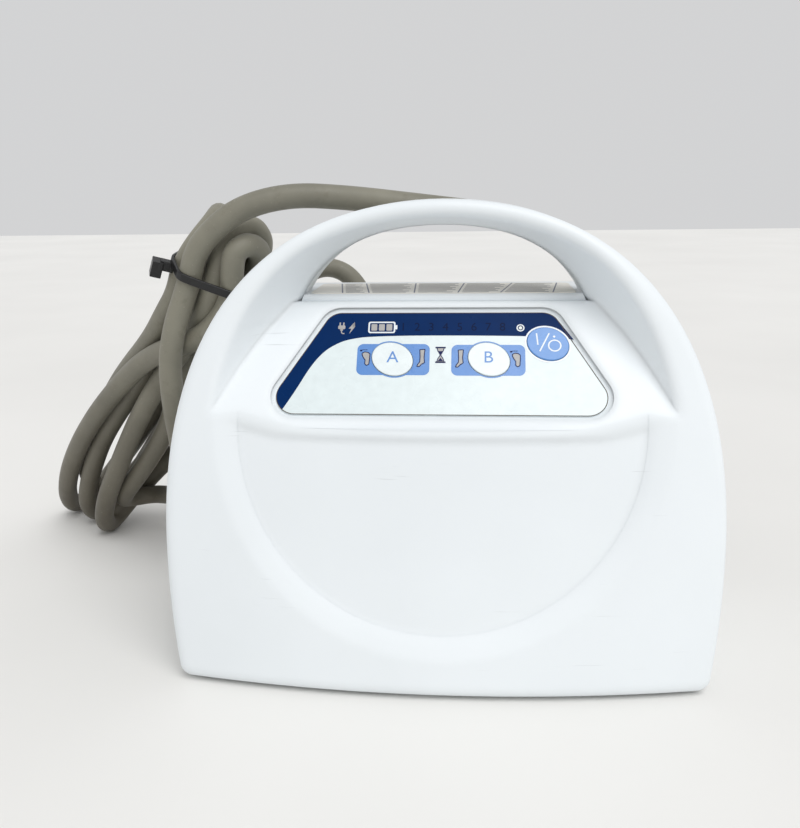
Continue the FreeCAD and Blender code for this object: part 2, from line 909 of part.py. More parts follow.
def rear_box(inset, floor_inset, end, corner):
    """The rear case's box: the outline cut level on top, with rounded shoulders and a roof break."""
    start = s.seam_y.value
    top = s.case_top_height.value - inset
    outline = case_outline(s.case_side_step.value + inset, floor_inset, start)
    box_ = outline.extrude(Vector(0, end - start, 0)).common(slab(0, top))
    shoulders = [edge for edge in box_.Edges if spans_y(edge) and edge.BoundBox.ZMin > top - 0.01]
    box_ = box_.makeFillet(corner, shoulders)
    margin = s.depth.value
    roof = [
        Vector(-margin, s.case_roof_break_y.value - inset, top),
        Vector(-margin, end, s.case_roof_break_height.value - inset / 2),
    ]
    slope = (roof[1] - roof[0]) * (1 / (roof[1] - roof[0]).Length)
    high, low = roof[0] - slope * margin, roof[1] + slope * margin
    away = Vector(0, margin, margin)
    wedge = Part.Face(Part.makePolygon([high, low, low + away, high + away, high]))
    return box_.cut(wedge.extrude(X_AXIS * 2 * margin))


def rear_case_blank():
    """The moulded rear half: the box with the works, and the back of the grip above it."""
    seam = s.seam_y.value
    wall = s.wall.value
    back = s.case_back_y.value
    top = s.case_top_height.value
    grip = case_outline(0, 0, seam).extrude(Vector(0, s.grip_back_y.value - seam, 0))
    behind = [face for face in grip.Faces if abs(face.BoundBox.YMin - s.grip_back_y.value) < 1e-4]
    grip = grip.makeFillet(s.grip_edge_radius.value, behind[0].Edges)
    right, left = arch_curves(
        s.bowl_back_half_width.value, s.lip_height.value,
        (s.lip_height + s.bowl_back_rise).value, s.bowl_back_fullness.value, seam,
    )
    sill = Part.LineSegment(left.getPole(4), right.getPole(1))
    gap = Part.Face(Part.Wire([curve.toShape() for curve in (sill, right, left)]))
    gap = gap.extrude(Vector(0, s.depth.value, 0)).common(slab(top, s.height.value))
    main = rear_box(0, 0, back, s.case_shoulder_radius.value)
    rear = [face for face in main.Faces if abs(face.BoundBox.YMin - back) < 1e-4]
    main = main.makeFillet(s.case_back_radius.value, rear[0].Edges)
    ridges = [edge for edge in main.Edges if spans_x(edge) and edge.BoundBox.ZMin > top - 0.01]
    main = main.makeFillet(s.case_ridge_radius.value, ridges)
    outer = grip.cut(gap).fuse(main)
    cavity = rear_box(wall, wall, back - wall, s.case_shoulder_radius.value - wall)
    cavity = cavity.common(slab(0, s.cavity_top_height.value))
    for x, z in boss_places():
        cavity = cavity.cut(column(s.boss_radius.value, seam, back, x, z))
    for x, z in post_places():
        cavity = cavity.cut(column(s.chassis_post_radius.value, chassis_back_y.value, back, x, z))
    shape = outer.cut(cavity)
    seat = seam + (s.screw_length - s.screw_sink).value
    well = (s.screw_head_radius + s.screw_clearance).value
    shank = (s.screw_radius + s.screw_clearance).value
    for x, z in boss_places():
        shape = shape.cut(column(shank, seam, seat, x, z)).cut(column(well, seat, back, x, z))
    for x, z in post_places():
        hole = (s.screw_radius + s.thread_clearance).value
        end = (chassis_back_y + s.screw_sink + s.screw_hole_spare).value
        shape = shape.cut(column(hole, chassis_back_y.value, end, x, z))
    return shape.removeSplitter()


# ---------------------------------------------------------------- control panel

def panel_outline(margin):
    """The overlay's four corners in the plane of the recess floor, grown by margin."""
    slope = (
        s.overlay_bottom_half_width - s.overlay_top_half_width
    ) / (s.overlay_top - s.overlay_bottom)
    outward = dim(margin) * root(1 + slope * slope)
    low = s.overlay_bottom_half_width + outward + slope * margin
    high = s.overlay_top_half_width + outward - slope * margin
    bottom = s.overlay_bottom - margin
    top = s.overlay_top + margin
    return [(-low, bottom), (low, bottom), (high, top), (-high, top)]


def panel_plate(name, margin, thickness):
    """A plate of the overlay's shape, grown by margin, on the XY plane."""
    body = new_body(name)
    sketch = new_sketch(body, "XY_Plane")
    draw_polygon(sketch, panel_outline(margin))
    pad(body, sketch, thickness)
    middle = ((s.overlay_bottom + s.overlay_top) / 2).value
    upright = edge_along(Z_AXIS)
    round_edges(
        body, lambda edge: upright(edge) and edge.BoundBox.YMax < middle, s.overlay_low_radius + margin
    )
    round_edges(
        body, lambda edge: upright(edge) and edge.BoundBox.YMax > middle, s.overlay_high_radius + margin
    )
    return body


KEYS = {
    "button_a": (-s.channel_key_x, s.channel_key_rise),
    "button_b": (s.channel_key_x, s.channel_key_rise),
    "button_power": (s.power_key_x, s.power_key_rise),
}


def key_opening(name, low, high):
    """The clearance hole of one key between two heights above the recess floor."""
    x, rise = KEYS[name]
    clearance = s.key_clearance
    tool = oval_prism(
        name + "_hole", s.key_half_length + clearance, s.key_half_height + clearance, high - low
    )
    return on_panel(tool, x, rise, low, s.key_turn)


def key(name):
    """An oval key: cap through the shell, flange behind it, and a stem that meets its switch."""
    x, rise = KEYS[name]
    cap_length = s.wall + s.key_gap - s.pocket_depth + s.overlay_thickness + s.key_proud
    cap = oval_prism(name + "_cap", s.key_half_length, s.key_half_height, cap_length)
    grown = s.key_flange
    flange = oval_prism(
        name + "_flange", s.key_half_length + grown, s.key_half_height + grown, s.key_flange_thickness
    )
    place(flange, 0, 0, -s.key_flange_thickness)
    under = s.wall + s.key_gap + s.key_flange_thickness
    stem_length = s.display_board_drop - s.switch_height - under - s.key_travel - s.switch_touch_gap
    stem = cylinder(
        name + "_stem", s.switch_cap_radius, stem_length, 0, 0, -s.key_flange_thickness - stem_length
    )
    whole = fuse(name + "_blank", cap, flange, stem)
    doc.recompute()
    rounded = doc.addObject("Part::Fillet", name)
    rounded.Base = whole
    top = edge_at("z", cap_length.value)
    radius = s.key_edge_radius.value
    rounded.Edges = [
        (number, radius, radius) for number, edge in enumerate(whole.Shape.Edges, start=1) if top(edge)
    ]
    on_panel(rounded, x, rise, -(s.wall + s.key_gap), s.key_turn)
    return finish_node(rounded, name)


def light_opening(name, low, high):
    tool = cylinder(name, s.light_radius + s.light_clearance, high - low)
    return on_panel(tool, s.light_x, s.light_rise, low)


def control_overlay():
    """The printed plate in the pocket, with holes for the keys and the light."""
    plate = panel_plate("overlay_plate", dim(0), s.overlay_thickness)
    on_panel(plate, 0, 0, -s.pocket_depth)
    low = -s.pocket_depth - s.cut_overrun
    high = s.cut_overrun
    holes = []
    for name in KEYS:
        x, rise = KEYS[name]
        grown = s.key_clearance
        tool = oval_prism(
            name + "_print", s.key_half_length + grown, s.key_half_height + grown, high - low
        )
        holes.append(on_panel(tool, x, rise, low, s.key_turn))
    holes.append(light_opening("overlay_light_hole", low, high))
    return finish_node(cut("control_overlay", plate, *holes), "control_overlay")


def status_light():
    """A light pipe with a flange behind the shell."""
    tip = s.overlay_thickness + s.light_proud - s.pocket_depth
    foot = s.light_board_gap - s.display_board_drop
    pipe = cylinder("light_pipe", s.light_radius, tip - foot)
    flange = cylinder("light_flange", s.light_flange_radius, s.light_flange_thickness)
    place(flange, 0, 0, -foot - s.wall - s.light_flange_thickness)
    whole = fuse("status_light", pipe, flange)
    return finish_node(on_panel(whole, s.light_x, s.light_rise, foot), "status_light")


def display_corners():
    """Where the display board is held, as (x, rise)."""
    x = s.display_board_half_width - s.display_post_inset
    low = s.display_board_bottom + s.display_post_inset
    high = s.display_board_top - s.display_post_inset
    return [(-x, low), (x, low), (x, high), (-x, high)]


def display_board():
    """The circuit board behind the recess floor, with holes for the shell's pins."""
    body = new_body("display_board")
    sketch = new_sketch(body, "XY_Plane")
    half = s.display_board_half_width
    draw_rectangle(sketch, -half, s.display_board_bottom, half, s.display_board_top)
    for x, rise in display_corners():
        draw_circle(sketch, x, rise, s.board_hole_radius)
    pad(body, sketch, s.board_thickness)
    on_panel(body, 0, 0, -s.display_board_drop - s.board_thickness)
    return finish_node(body, "display_board")


def key_switches():
    """Three tactile switches on the display board, one under each key."""
    switches = []
    for name, (x, rise) in KEYS.items():
        side = s.switch_side
        base_height = s.switch_height / 2
        base = box(name + "_switch_base", side, side, base_height)
        place(base, -side / 2, -side / 2, 0)
        cap = cylinder(name + "_switch_cap", s.switch_cap_radius, s.switch_height)
        switch = fuse(name + "_switch", base, cap)
        switches.append(on_panel(switch, x, rise, -s.display_board_drop))
    return finish_node(group("key_switches", *switches), "key_switches")


def digit_x(number):
    return s.digit_first_x + s.digit_pitch * number


def display_digits():
    """The row of digit lamps on the display board."""
    lamps = []
    for number in range(int(s.digit_count.value)):
        lamp = box(f"digit_{number + 1}", s.digit_width, s.digit_length, s.digit_height)
        x = digit_x(number) - s.digit_width / 2
        lamps.append(on_panel(lamp, x, s.light_rise - s.digit_length / 2, -s.display_board_drop))
    return finish_node(group("display_digits", *lamps), "display_digits")


# ---------------------------------------------------------------- case halves

def foot_places():
    """The four feet, as (x, y)."""
    return [(side * s.foot_x, y) for y in (s.foot_front_y, s.foot_back_y) for side in (-1, 1)]


def foot_seats(name, y):
    """The recesses for the two feet at one depth."""
    seats = []
    for side in (-1, 1):
        radius = s.foot_radius + s.foot_clearance
        seats.append(cylinder(f"{name}_{len(seats)}", radius, s.foot_thickness, side * s.foot_x, y, 0))
    return seats


def front_shell():
    """The front half: crowned face, control recess, front of the handle, pocket and holes."""
    blank = feature("front_shell_blank", front_shell_blank())
    posts = []
    for number, (x, rise) in enumerate(display_corners()):
        post = cylinder(
            f"display_post_{number}", s.display_post_radius,
            s.display_board_drop - s.wall + s.display_post_sink
        )
        posts.append(on_panel(post, x, rise, -s.display_board_drop))
        length = s.board_thickness + s.pin_proud
        pin = cylinder(f"display_pin_{number}", s.board_hole_radius - s.pin_clearance, length)
        posts.append(on_panel(pin, x, rise, -s.display_board_drop - length))
    pocket_tool = panel_plate("overlay_pocket", s.pocket_margin, s.pocket_depth + s.cut_overrun)
    on_panel(pocket_tool, 0, 0, -s.pocket_depth)
    low = -s.wall - s.cut_overrun
    high = s.cut_overrun
    tools = [pocket_tool, light_opening("shell_light_hole", low, high)]
    tools += [key_opening(name, low, high) for name in KEYS]
    margin = s.digit_window_margin
    width = s.digit_pitch * (s.digit_count - 1) + s.digit_width + margin * 2
    height = s.digit_length + margin * 2
    window = box("digit_window", width, height, high - low)
    x = s.digit_first_x - s.digit_width / 2 - margin
    tools.append(on_panel(window, x, s.light_rise - height / 2, low))
    tools += foot_seats("front_seat", s.foot_front_y)
    shell = cut("front_shell", fuse("front_shell_with_posts", blank, *posts), *tools)
    return finish_node(shell, "front_shell")


def vent_slots():
    """Slots in the rear wall behind the fan."""
    slots = []
    for number in range(int(s.vent_slot_count.value)):
        z = s.fan_z + s.vent_slot_pitch * (
            number - (s.vent_slot_count - 1) / 2
        ) - s.vent_slot_height / 2
        low = (s.fan_x - s.vent_slot_half_length, case_inside_back_y - s.cut_overrun, z)
        high = (
            s.fan_x + s.vent_slot_half_length, s.case_back_y + s.cut_overrun, z + s.vent_slot_height
        )
        slots.append(box_between(f"vent_slot_{number}", low, high))
    return slots


def block_along_y(name, left, bottom, right, top, front, back, radius):
    """A block with its four Y edges rounded."""
    body = new_body(name)
    sketch = new_sketch(body, "XZ_Plane", -dim(back))
    draw_rectangle(sketch, left, bottom, right, top)
    pad(body, sketch, dim(back) - front)
    if dim(radius).value > 0:
        round_edges(body, edge_along(Y_AXIS), radius)
    return body


def port_centres():
    """The two tube sockets' names and middles across."""
    return {"tube_port_a": s.port_middle_x - s.port_x, "tube_port_b": s.port_middle_x + s.port_x}


def door_outline(margin):
    """The battery door's low and high corners in the base, grown by margin."""
    inset = s.door_inset - margin
    low = (s.battery_left + inset, s.battery_front_y + inset)
    high = (s.battery_right - inset, s.battery_back_y - inset)
    return low, high


def rear_case():
    """The rear half with its openings."""
    blank = feature("rear_case_blank", rear_case_blank())
    tools = vent_slots()
    clearance = s.port_clearance
    for name, x in port_centres().items():
        half = s.port_width / 2 + clearance
        tall = s.port_height / 2 + clearance
        tools.append(block_along_y(
            name + "_hole", x - half, s.port_z - tall, x + half, s.port_z + tall,
            case_inside_back_y - s.cut_overrun, s.case_back_y + s.cut_overrun,
            s.port_corner_radius + clearance,
        ))
    half = s.inlet_width / 2 + s.inlet_clearance
    tall = s.inlet_height / 2 + s.inlet_clearance
    tools.append(box_between(
        "inlet_hole",
        (s.inlet_x - half, case_inside_back_y - s.cut_overrun, s.inlet_z - tall),
        (s.inlet_x + half, s.case_back_y + s.cut_overrun, s.inlet_z + tall),
    ))
    low, high = door_outline(s.door_clearance)
    door_low = (*low, base_z - s.cut_overrun)
    door_high = (*high, base_z + s.wall + s.cut_overrun)
    tools.append(box_between("door_hole", door_low, door_high))
    tools += foot_seats("rear_seat", s.foot_back_y)
    return finish_node(cut("rear_case", blank, *tools), "rear_case")


def rubber_feet():
    """Four feet of one kind, seated in the case's recesses."""
    feet = []
    chamfer = s.foot_chamfer
    for number, (x, y) in enumerate(foot_places()):
        foot = revolved(f"foot_{number}", [
            (0, 0), (s.foot_radius - chamfer, 0), (s.foot_radius, chamfer),
            (s.foot_radius, s.foot_thickness), (0, s.foot_thickness),
        ])
        feet.append(place(foot, x, y, 0))
    return finish_node(group("rubber_feet", *feet), "rubber_feet")


def screw(name, length):
    """A socket screw whose head rests on z = 0 and whose shank points down."""
    head = s.screw_head_height
    socket = s.screw_socket_depth
    return revolved(name, [
        (0, -length), (s.screw_radius, -length), (s.screw_radius, 0), (s.screw_head_radius, 0),
        (s.screw_head_radius, head), (s.screw_socket_radius, head),
        (s.screw_socket_radius, head - socket), (0, head - socket),
    ])


def case_screws():
    """The four long screws that join the halves from behind."""
    seat = s.seam_y + s.screw_length - s.screw_sink
    screws = []
    for x, z in ((s.boss_low_x, s.boss_low_z), (s.boss_high_x, s.boss_high_z)):
        for side in (-1, 1):
            item = screw(f"case_screw_{len(screws)}", s.screw_length)
            screws.append(place(item, side * x, seat, z, X_AXIS, -90))
    return finish_node(group("case_screws", *screws), "case_screws")


def top_label():
    """The blank label plate on top of the rear case."""
    front = s.seam_y + s.label_front_gap
    half = s.label_half_width
    plate = rounded_plate(
        "top_label", -half, front, half, front + s.label_length,
        s.label_thickness, s.label_corner_radius,
    )
    return finish_node(place(plate, 0, 0, s.case_top_height), "top_label")


def battery_door():
    """The door under the battery, flush with the base."""
    low, high = door_outline(dim(0))
    door = box_between("battery_door_plate", (*low, base_z), (*high, base_z + s.wall))
    notch = cylinder(
        "door_notch", s.door_notch_radius, s.wall, (low[0] + high[0]) / 2, low[1], base_z - s.wall / 2
    )
    return finish_node(cut("battery_door", door, notch), "battery_door")


# ---------------------------------------------------------------- chassis, boards and power

def chassis_plate():
    """The plate between the halves that carries the works."""
    body = new_body("chassis_plate")
    sketch = new_sketch(body, "XZ_Plane", -chassis_back_y)
    half = s.chassis_half_width
    draw_polygon(sketch, [
        (
            -half, s.chassis_bottom
        ), (half, s.chassis_bottom), (half, s.chassis_top), (-half, s.chassis_top),
        (-half, s.chassis_window_top), (s.chassis_window_right, s.chassis_window_top),
        (s.chassis_window_right, s.chassis_window_bottom), (-half, s.chassis_window_bottom),
    ])
    for z in (s.chassis_post_low_z, s.chassis_post_high_z):
        for side in (-1, 1):
            draw_circle(sketch, side * s.chassis_post_x, z, s.screw_radius + s.screw_clearance)
    pad(body, sketch, s.chassis_thickness)
    return finish_node(body, "chassis_plate")


def chassis_screws():
    """Four screws from the front into the chassis posts."""
    screws = []
    for z in (s.chassis_post_low_z, s.chassis_post_high_z):
        for side in (-1, 1):
            item = screw(f"chassis_screw_{len(screws)}", s.screw_sink)
            screws.append(place(item, side * s.chassis_post_x, s.chassis_front_y, z, X_AXIS, 90))
    return finish_node(group("chassis_screws", *screws), "chassis_screws")


board_front_y = chassis_back_y + s.main_board_spacing
board_back_y = board_front_y + s.board_thickness


def standoff_places():
    """The corners of the main board, as (x, z)."""
    inset = s.standoff_inset
    return [
        (x, z)
        for z in (s.main_board_bottom + inset, s.main_board_top - inset)
        for x in (s.main_board_left + inset, s.main_board_right - inset)
    ]


def main_board():
    body = new_body("main_board")
    sketch = new_sketch(body, "XZ_Plane", -board_back_y)
    draw_rectangle(sketch, s.main_board_left, s.main_board_bottom, s.main_board_right, s.main_board_top)
    for x, z in standoff_places():
        draw_circle(sketch, x, z, s.board_hole_radius)
    pad(body, sketch, s.board_thickness)
    return finish_node(body, "main_board")


def board_standoffs():
    """Four spacers between the chassis and the main board, each with a pin through the board."""
    spacers = []
    for number, (x, z) in enumerate(standoff_places()):
        spacer = along_y(
            f"spacer_{number}", s.standoff_radius, s.main_board_spacing, x, chassis_back_y, z
        )
        length = s.main_board_spacing + s.board_thickness + s.pin_proud
        pin = along_y(
            f"spacer_pin_{number}", s.board_hole_radius - s.pin_clearance, length, x, chassis_back_y, z
        )
        spacers.append(fuse(f"standoff_{number}", spacer, pin))
    return finish_node(group("board_standoffs", *spacers), "board_standoffs")


def board_components():
    """The taller parts on the main board: processor, capacitors and two headers."""
    middle_x = (s.main_board_left + s.main_board_right) / 2
    middle_z = (s.main_board_bottom + s.main_board_top) / 2
    side = s.processor_side
    parts = [box_between(
        "processor",
        (middle_x - side / 2, board_back_y, middle_z - side / 2),
        (middle_x + side / 2, board_back_y + s.processor_height, middle_z + side / 2),
    )]
    for number in range(int(s.capacitor_count.value)):
        x = s.main_board_right - s.standoff_inset - s.capacitor_radius
        step = number - (s.capacitor_count - 1) / 2
        z = middle_z + step * (s.capacitor_radius * 2 + s.capacitor_gap)
        parts.append(
            along_y(f"capacitor_{number}", s.capacitor_radius, s.capacitor_height, x, board_back_y, z)
        )
    for number, z in enumerate((middle_z - side, middle_z + side)):
        low = (s.main_board_left + s.standoff_inset, board_back_y, z - s.header_width / 2)
        high = (low[0] + s.header_length, board_back_y + s.header_height, z + s.header_width / 2)
        parts.append(box_between(f"header_{number}", low, high))
    return finish_node(group("board_components", *parts), "board_components")


def power_supply():
    back = chassis_back_y + s.supply_depth
    block = block_along_y(
        "power_supply", s.supply_left, s.supply_bottom, s.supply_right, s.supply_top,
        chassis_back_y, back, s.supply_edge_radius,
    )
    return finish_node(block, "power_supply")


def battery_pack():
    bottom = base_z + s.wall
    block = block_along_y(
        "battery_pack", s.battery_left, bottom, s.battery_right, bottom + s.battery_height,
        s.battery_front_y, s.battery_back_y, s.battery_edge_radius,
    )
    return finish_node(block, "battery_pack")


def speaker():
    disc = along_y(
        "speaker", s.speaker_radius, s.speaker_thickness,
        s.speaker_x, s.chassis_front_y - s.speaker_thickness, s.speaker_z,
    )
    return finish_node(disc, "speaker")


# ---------------------------------------------------------------- fan

fan_back_y = case_inside_back_y
fan_front_y = fan_back_y - s.fan_thickness


def fan_frame():
    """The square frame with a hub on three struts and the axle that carries the rotor."""
    half = s.fan_side / 2
    square = box_between(
        "fan_square", (
            s.fan_x - half, fan_front_y, s.fan_z - half
        ), (s.fan_x + half, fan_back_y, s.fan_z + half)
    )
    bore = along_y("fan_bore", s.fan_bore_radius, s.fan_thickness, s.fan_x, fan_front_y, s.fan_z)
    ring = cut("fan_ring", square, bore)
    strut_y = fan_back_y - s.fan_strut_thickness
    width = s.fan_strut_width / 2
    reach = half - s.joint_overlap
    upright = box_between(
        "fan_strut_up",
        (s.fan_x - width, strut_y, s.fan_z - reach),
        (s.fan_x + width, fan_back_y, s.fan_z + reach),
    )
    level = box_between(
        "fan_strut_level",
        (s.fan_x - reach, strut_y, s.fan_z - width),
        (s.fan_x + reach, fan_back_y, s.fan_z + width),
    )
    hub = along_y("fan_seat", s.fan_hub_radius, s.fan_strut_thickness, s.fan_x, strut_y, s.fan_z)
    axle_length = s.fan_thickness - s.fan_strut_thickness - s.fan_axle_inset
    axle = along_y(
        "fan_axle", s.fan_axle_radius, axle_length, s.fan_x, fan_front_y + s.fan_axle_inset, s.fan_z
    )
    return finish_node(fuse("fan_frame", ring, upright, level, hub, axle), "fan_frame")


def fan_rotor():
    """The hub and its pitched blades, turned about its own Y axis."""
    body = new_body("fan_rotor")
    start = s.fan_thickness - s.fan_strut_thickness - s.fan_hub_gap - s.fan_hub_length
    sketch = new_sketch(body, "XZ_Plane", -(start + s.fan_hub_length))
    draw_circle(sketch, 0, 0, s.fan_hub_radius)
    draw_circle(sketch, 0, 0, s.fan_axle_radius + s.fan_axle_clearance)
    pad(body, sketch, s.fan_hub_length)
    blade_sketch = new_sketch(body, "YZ_Plane", s.fan_hub_radius - s.joint_overlap)
    first = start + s.fan_blade_inset
    last = first + s.fan_blade_length
    half = s.fan_blade_thickness / 2
    draw_polygon(blade_sketch, [
        (first, -s.fan_blade_sweep / 2 - half), (first, -s.fan_blade_sweep / 2 + half),
        (last, s.fan_blade_sweep / 2 + half), (last, s.fan_blade_sweep / 2 - half),
    ])
    blade = pad(body, blade_sketch, s.fan_blade_reach - s.fan_hub_radius + s.joint_overlap)
    ring = body.newObject("PartDesign::PolarPattern", "fan_blades")
    ring.Originals = [blade]
    ring.Axis = (sketch, ["N_Axis"])
    ring.Angle = 360
    bind(ring, "Occurrences", s.fan_blade_count)
    body.Tip = ring
    doc.recompute()
    return finish_node(place(body, s.fan_x, fan_front_y, s.fan_z), "fan_rotor")


# ---------------------------------------------------------------- compressor and valves

compressor_back_y = s.chassis_front_y - s.compressor_gap
compressor_y = compressor_back_y - s.motor_radius
motor_right = s.motor_left + s.motor_length
pump_middle_x = motor_right + s.pump_head_width / 2
pump_top = s.compressor_z + s.pump_head_height / 2


def compressor_motor():
    """The motor's can with its mounting foot, bored for the shaft."""
    can = along_x(
        "motor_can", s.motor_radius, s.motor_length, s.motor_left, compressor_y, s.compressor_z
    )
    inset = s.motor_foot_inset
    foot = box_between(
        "motor_foot",
        (
            s.motor_left + inset, compressor_back_y - s.motor_foot_thickness,
            s.compressor_z - s.motor_foot_half_height
        ),
        (motor_right - inset, compressor_back_y, s.compressor_z + s.motor_foot_half_height),
    )
    bore_radius = s.shaft_radius + s.shaft_clearance
    bore = along_x(
        "motor_bore", bore_radius, s.motor_length,
        s.motor_left + s.shaft_inset, compressor_y, s.compressor_z
    )
    return finish_node(
        cut("compressor_motor", fuse("motor_blank", can, foot), bore), "compressor_motor"
    )


def compressor_shaft():
    """The motor shaft and the eccentric that works the diaphragms."""
    start = s.motor_left + s.shaft_inset + s.shaft_clearance
    length = motor_right + s.shaft_overhang - start
    shaft = along_x("motor_shaft", s.shaft_radius, length, start, compressor_y, s.compressor_z)
    cam_x = motor_right + (s.shaft_overhang - s.eccentric_thickness) / 2
    cam = along_x(
        "eccentric", s.eccentric_radius, s.eccentric_thickness,
        cam_x, compressor_y, s.compressor_z + s.eccentric_offset,
    )
    return finish_node(fuse("compressor_shaft", shaft, cam), "compressor_shaft")


def pump_head():
    """The diaphragm housing over the eccentric, with two outlets up to the manifold."""
    half = s.pump_head_height / 2
    block = box_between(
        "pump_block",
        (motor_right, compressor_back_y - s.pump_head_depth, s.compressor_z - half),
        (motor_right + s.pump_head_width, compressor_back_y, pump_top),
    )
    room = s.eccentric_radius + s.eccentric_offset + s.eccentric_clearance
    chamber = along_x(
        "pump_chamber", room, s.shaft_overhang + s.eccentric_clearance,
        motor_right, compressor_y, s.compressor_z,
    )
    hollow = cut("pump_housing", block, chamber)
    outlets = []
    nipple_y = compressor_back_y - s.mount_inset
    for side in (-1, 1):
        x = pump_middle_x + side * s.pump_nipple_offset
        height = s.manifold_bottom - pump_top
        outlets.append(
            cylinder(f"pump_outlet_{len(outlets)}", s.pump_nipple_radius, height, x, nipple_y, pump_top)
        )
    return finish_node(fuse("pump_head", hollow, *outlets), "pump_head")


def pump_mounts():
    """Four rubber mounts between the compressor and the chassis."""
    offset = s.pump_head_height / 2 - s.mount_inset
    foot = s.motor_foot_half_height - s.mount_radius
    left_x = s.motor_left + s.motor_foot_inset + s.mount_radius
    places = [(left_x, -foot), (left_x, foot), (pump_middle_x, -offset), (pump_middle_x, offset)]
    mounts = [
        along_y(
            f"mount_{number}", s.mount_radius, s.compressor_gap,
            x, compressor_back_y, s.compressor_z + dz
        )
        for number, (x, dz) in enumerate(places)
    ]
    return finish_node(group("pump_mounts", *mounts), "pump_mounts")


valve_z = (s.manifold_bottom + s.manifold_top) / 2


def valve_x(number):
    return s.valve_pitch * (number - (s.valve_count - 1) / 2)


def valve_manifold():
    half = s.manifold_half_length
    block = block_along_y(
        "valve_manifold", -half, s.manifold_bottom, half, s.manifold_top,
        s.manifold_front_y, s.chassis_front_y, s.manifold_edge_radius,
    )
    return finish_node(block, "valve_manifold")


def valve_coils():
    """One solenoid coil for each air chamber, bored for its plunger."""
    coils = []
    half = s.coil_side / 2
    bore_radius = s.plunger_radius + s.plunger_clearance
    depth = s.plunger_length + s.plunger_travel + s.plunger_end_gap * 2
    for number in range(int(s.valve_count.value)):
        x = valve_x(number)
        block = box_between(
            f"coil_block_{number}",
            (x - half, s.manifold_front_y - s.coil_length, valve_z - half),
            (x + half, s.manifold_front_y, valve_z + half),
        )
        bore = along_y(
            f"coil_bore_{number}", bore_radius, depth, x, s.manifold_front_y - depth, valve_z
        )
        coils.append(cut(f"coil_{number}", block, bore))
    return finish_node(group("valve_coils", *coils), "valve_coils")


def valve_plungers():
    """Each plunger on its own, because each one moves on its own."""
    for number in range(int(s.valve_count.value)):
        start = s.manifold_front_y - s.plunger_end_gap - s.plunger_length
        plunger = along_y(
            f"plunger_{number}", s.plunger_radius, s.plunger_length, valve_x(number), start, valve_z
        )
        finish_node(plunger, f"valve_plunger_{number + 1}")


def lumens():
    """The x of every air way, from the left socket to the right one."""
    pitch = s.port_bore_pitch
    return [middle + pitch * step for middle in port_centres().values() for step in (-1, 0, 1)]


# ---------------------------------------------------------------- tubes and cords

CORD_ARC_SHARE = 0.45


def rounded_path(points, radii):
    """Straight runs joined by tangent arcs: one radius for each inner point."""
    edges = []
    last = points[0]
    for before, corner, after, radius in zip(points, points[1:], points[2:], radii):
        back = (before - corner).normalize()
        onward = (after - corner).normalize()
        half_turn = (math.pi - back.getAngle(onward)) / 2
        reach = radius * math.tan(half_turn)
        start = corner + back * reach
        end = corner + onward * reach
        bisector = (back + onward).normalize()
        middle = corner + bisector * (radius / math.cos(half_turn) - radius)
        edges.append(Part.LineSegment(last, start).toShape())
        edges.append(Part.Arc(start, middle, end).toShape())
        last = end
    edges.append(Part.LineSegment(last, points[-1]).toShape())
    return Part.Wire(edges)


def sweep_round(path, radius):
    """A round solid along a path."""
    first = path.Edges[0]
    start = first.valueAt(first.FirstParameter)
    profile = Part.Wire(Part.makeCircle(radius, start, first.tangentAt(first.FirstParameter)))
    return path.makePipeShell([profile], True, True)


def air_tubes():
    """Six silicone tubes from the manifold, through the chassis window, to the two sockets."""
    tubes = []
    drop_y = (s.chassis_front_y + compressor_back_y) / 2 - s.tube_radius
    rise_y = s.battery_front_y + s.tube_rise_inset
    low = (s.chassis_window_bottom + s.chassis_window_top) / 2
    end_y = s.case_back_y - s.port_depth
    for number, x in enumerate(lumens()):
        points = [
            Vector(x.value, drop_y.value, s.manifold_bottom.value),
            Vector(x.value, drop_y.value, low.value),
            Vector(x.value, rise_y.value, low.value),
            Vector(x.value, rise_y.value, s.port_z.value),
            Vector(x.value, end_y.value, s.port_z.value),
        ]
        path = rounded_path(points, [s.tube_bend_radius.value] * 3)
        tubes.append(feature(f"air_tube_{number}", sweep_round(path, s.tube_radius.value)))
    return finish_node(group("air_tubes", *tubes), "air_tubes")


def tube_port(name, x):
    """A three-way air socket: a rounded block through the case with a flange and three bores."""
    half = s.port_width / 2
    tall = s.port_height / 2
    front = s.case_back_y - s.port_depth
    back = s.case_back_y + s.port_proud
    block = block_along_y(
        name + "_block", x - half, s.port_z - tall, x + half, s.port_z + tall,
        front, back, s.port_corner_radius,
    )
    grown = s.port_flange
    flange = block_along_y(
        name + "_flange",
        x - half - grown, s.port_z - tall - grown, x + half + grown, s.port_z + tall + grown,
        s.case_back_y, s.case_back_y + s.port_flange_thickness, s.port_corner_radius + grown,
    )
    bores = [
        along_y(
            f"{name}_bore_{step + 1}", s.port_bore_radius, s.port_bore_depth,
            x + s.port_bore_pitch * step, back - s.port_bore_depth, s.port_z,
        )
        for step in (-1, 0, 1)
    ]
    return finish_node(cut(name, fuse(name + "_blank", block, flange), *bores), name)


# ---------------------------------------------------------------- mains inlet

inlet_back_y = s.case_back_y + s.inlet_flange_thickness


def inlet_box(name, inset, front, back):
    """A box centred on the inlet, smaller than its body by inset on each side."""
    half = s.inlet_width / 2 - inset
    tall = s.inlet_height / 2 - inset
    return box_between(
        name, (s.inlet_x - half, front, s.inlet_z - tall), (s.inlet_x + half, back, s.inlet_z + tall)
    )


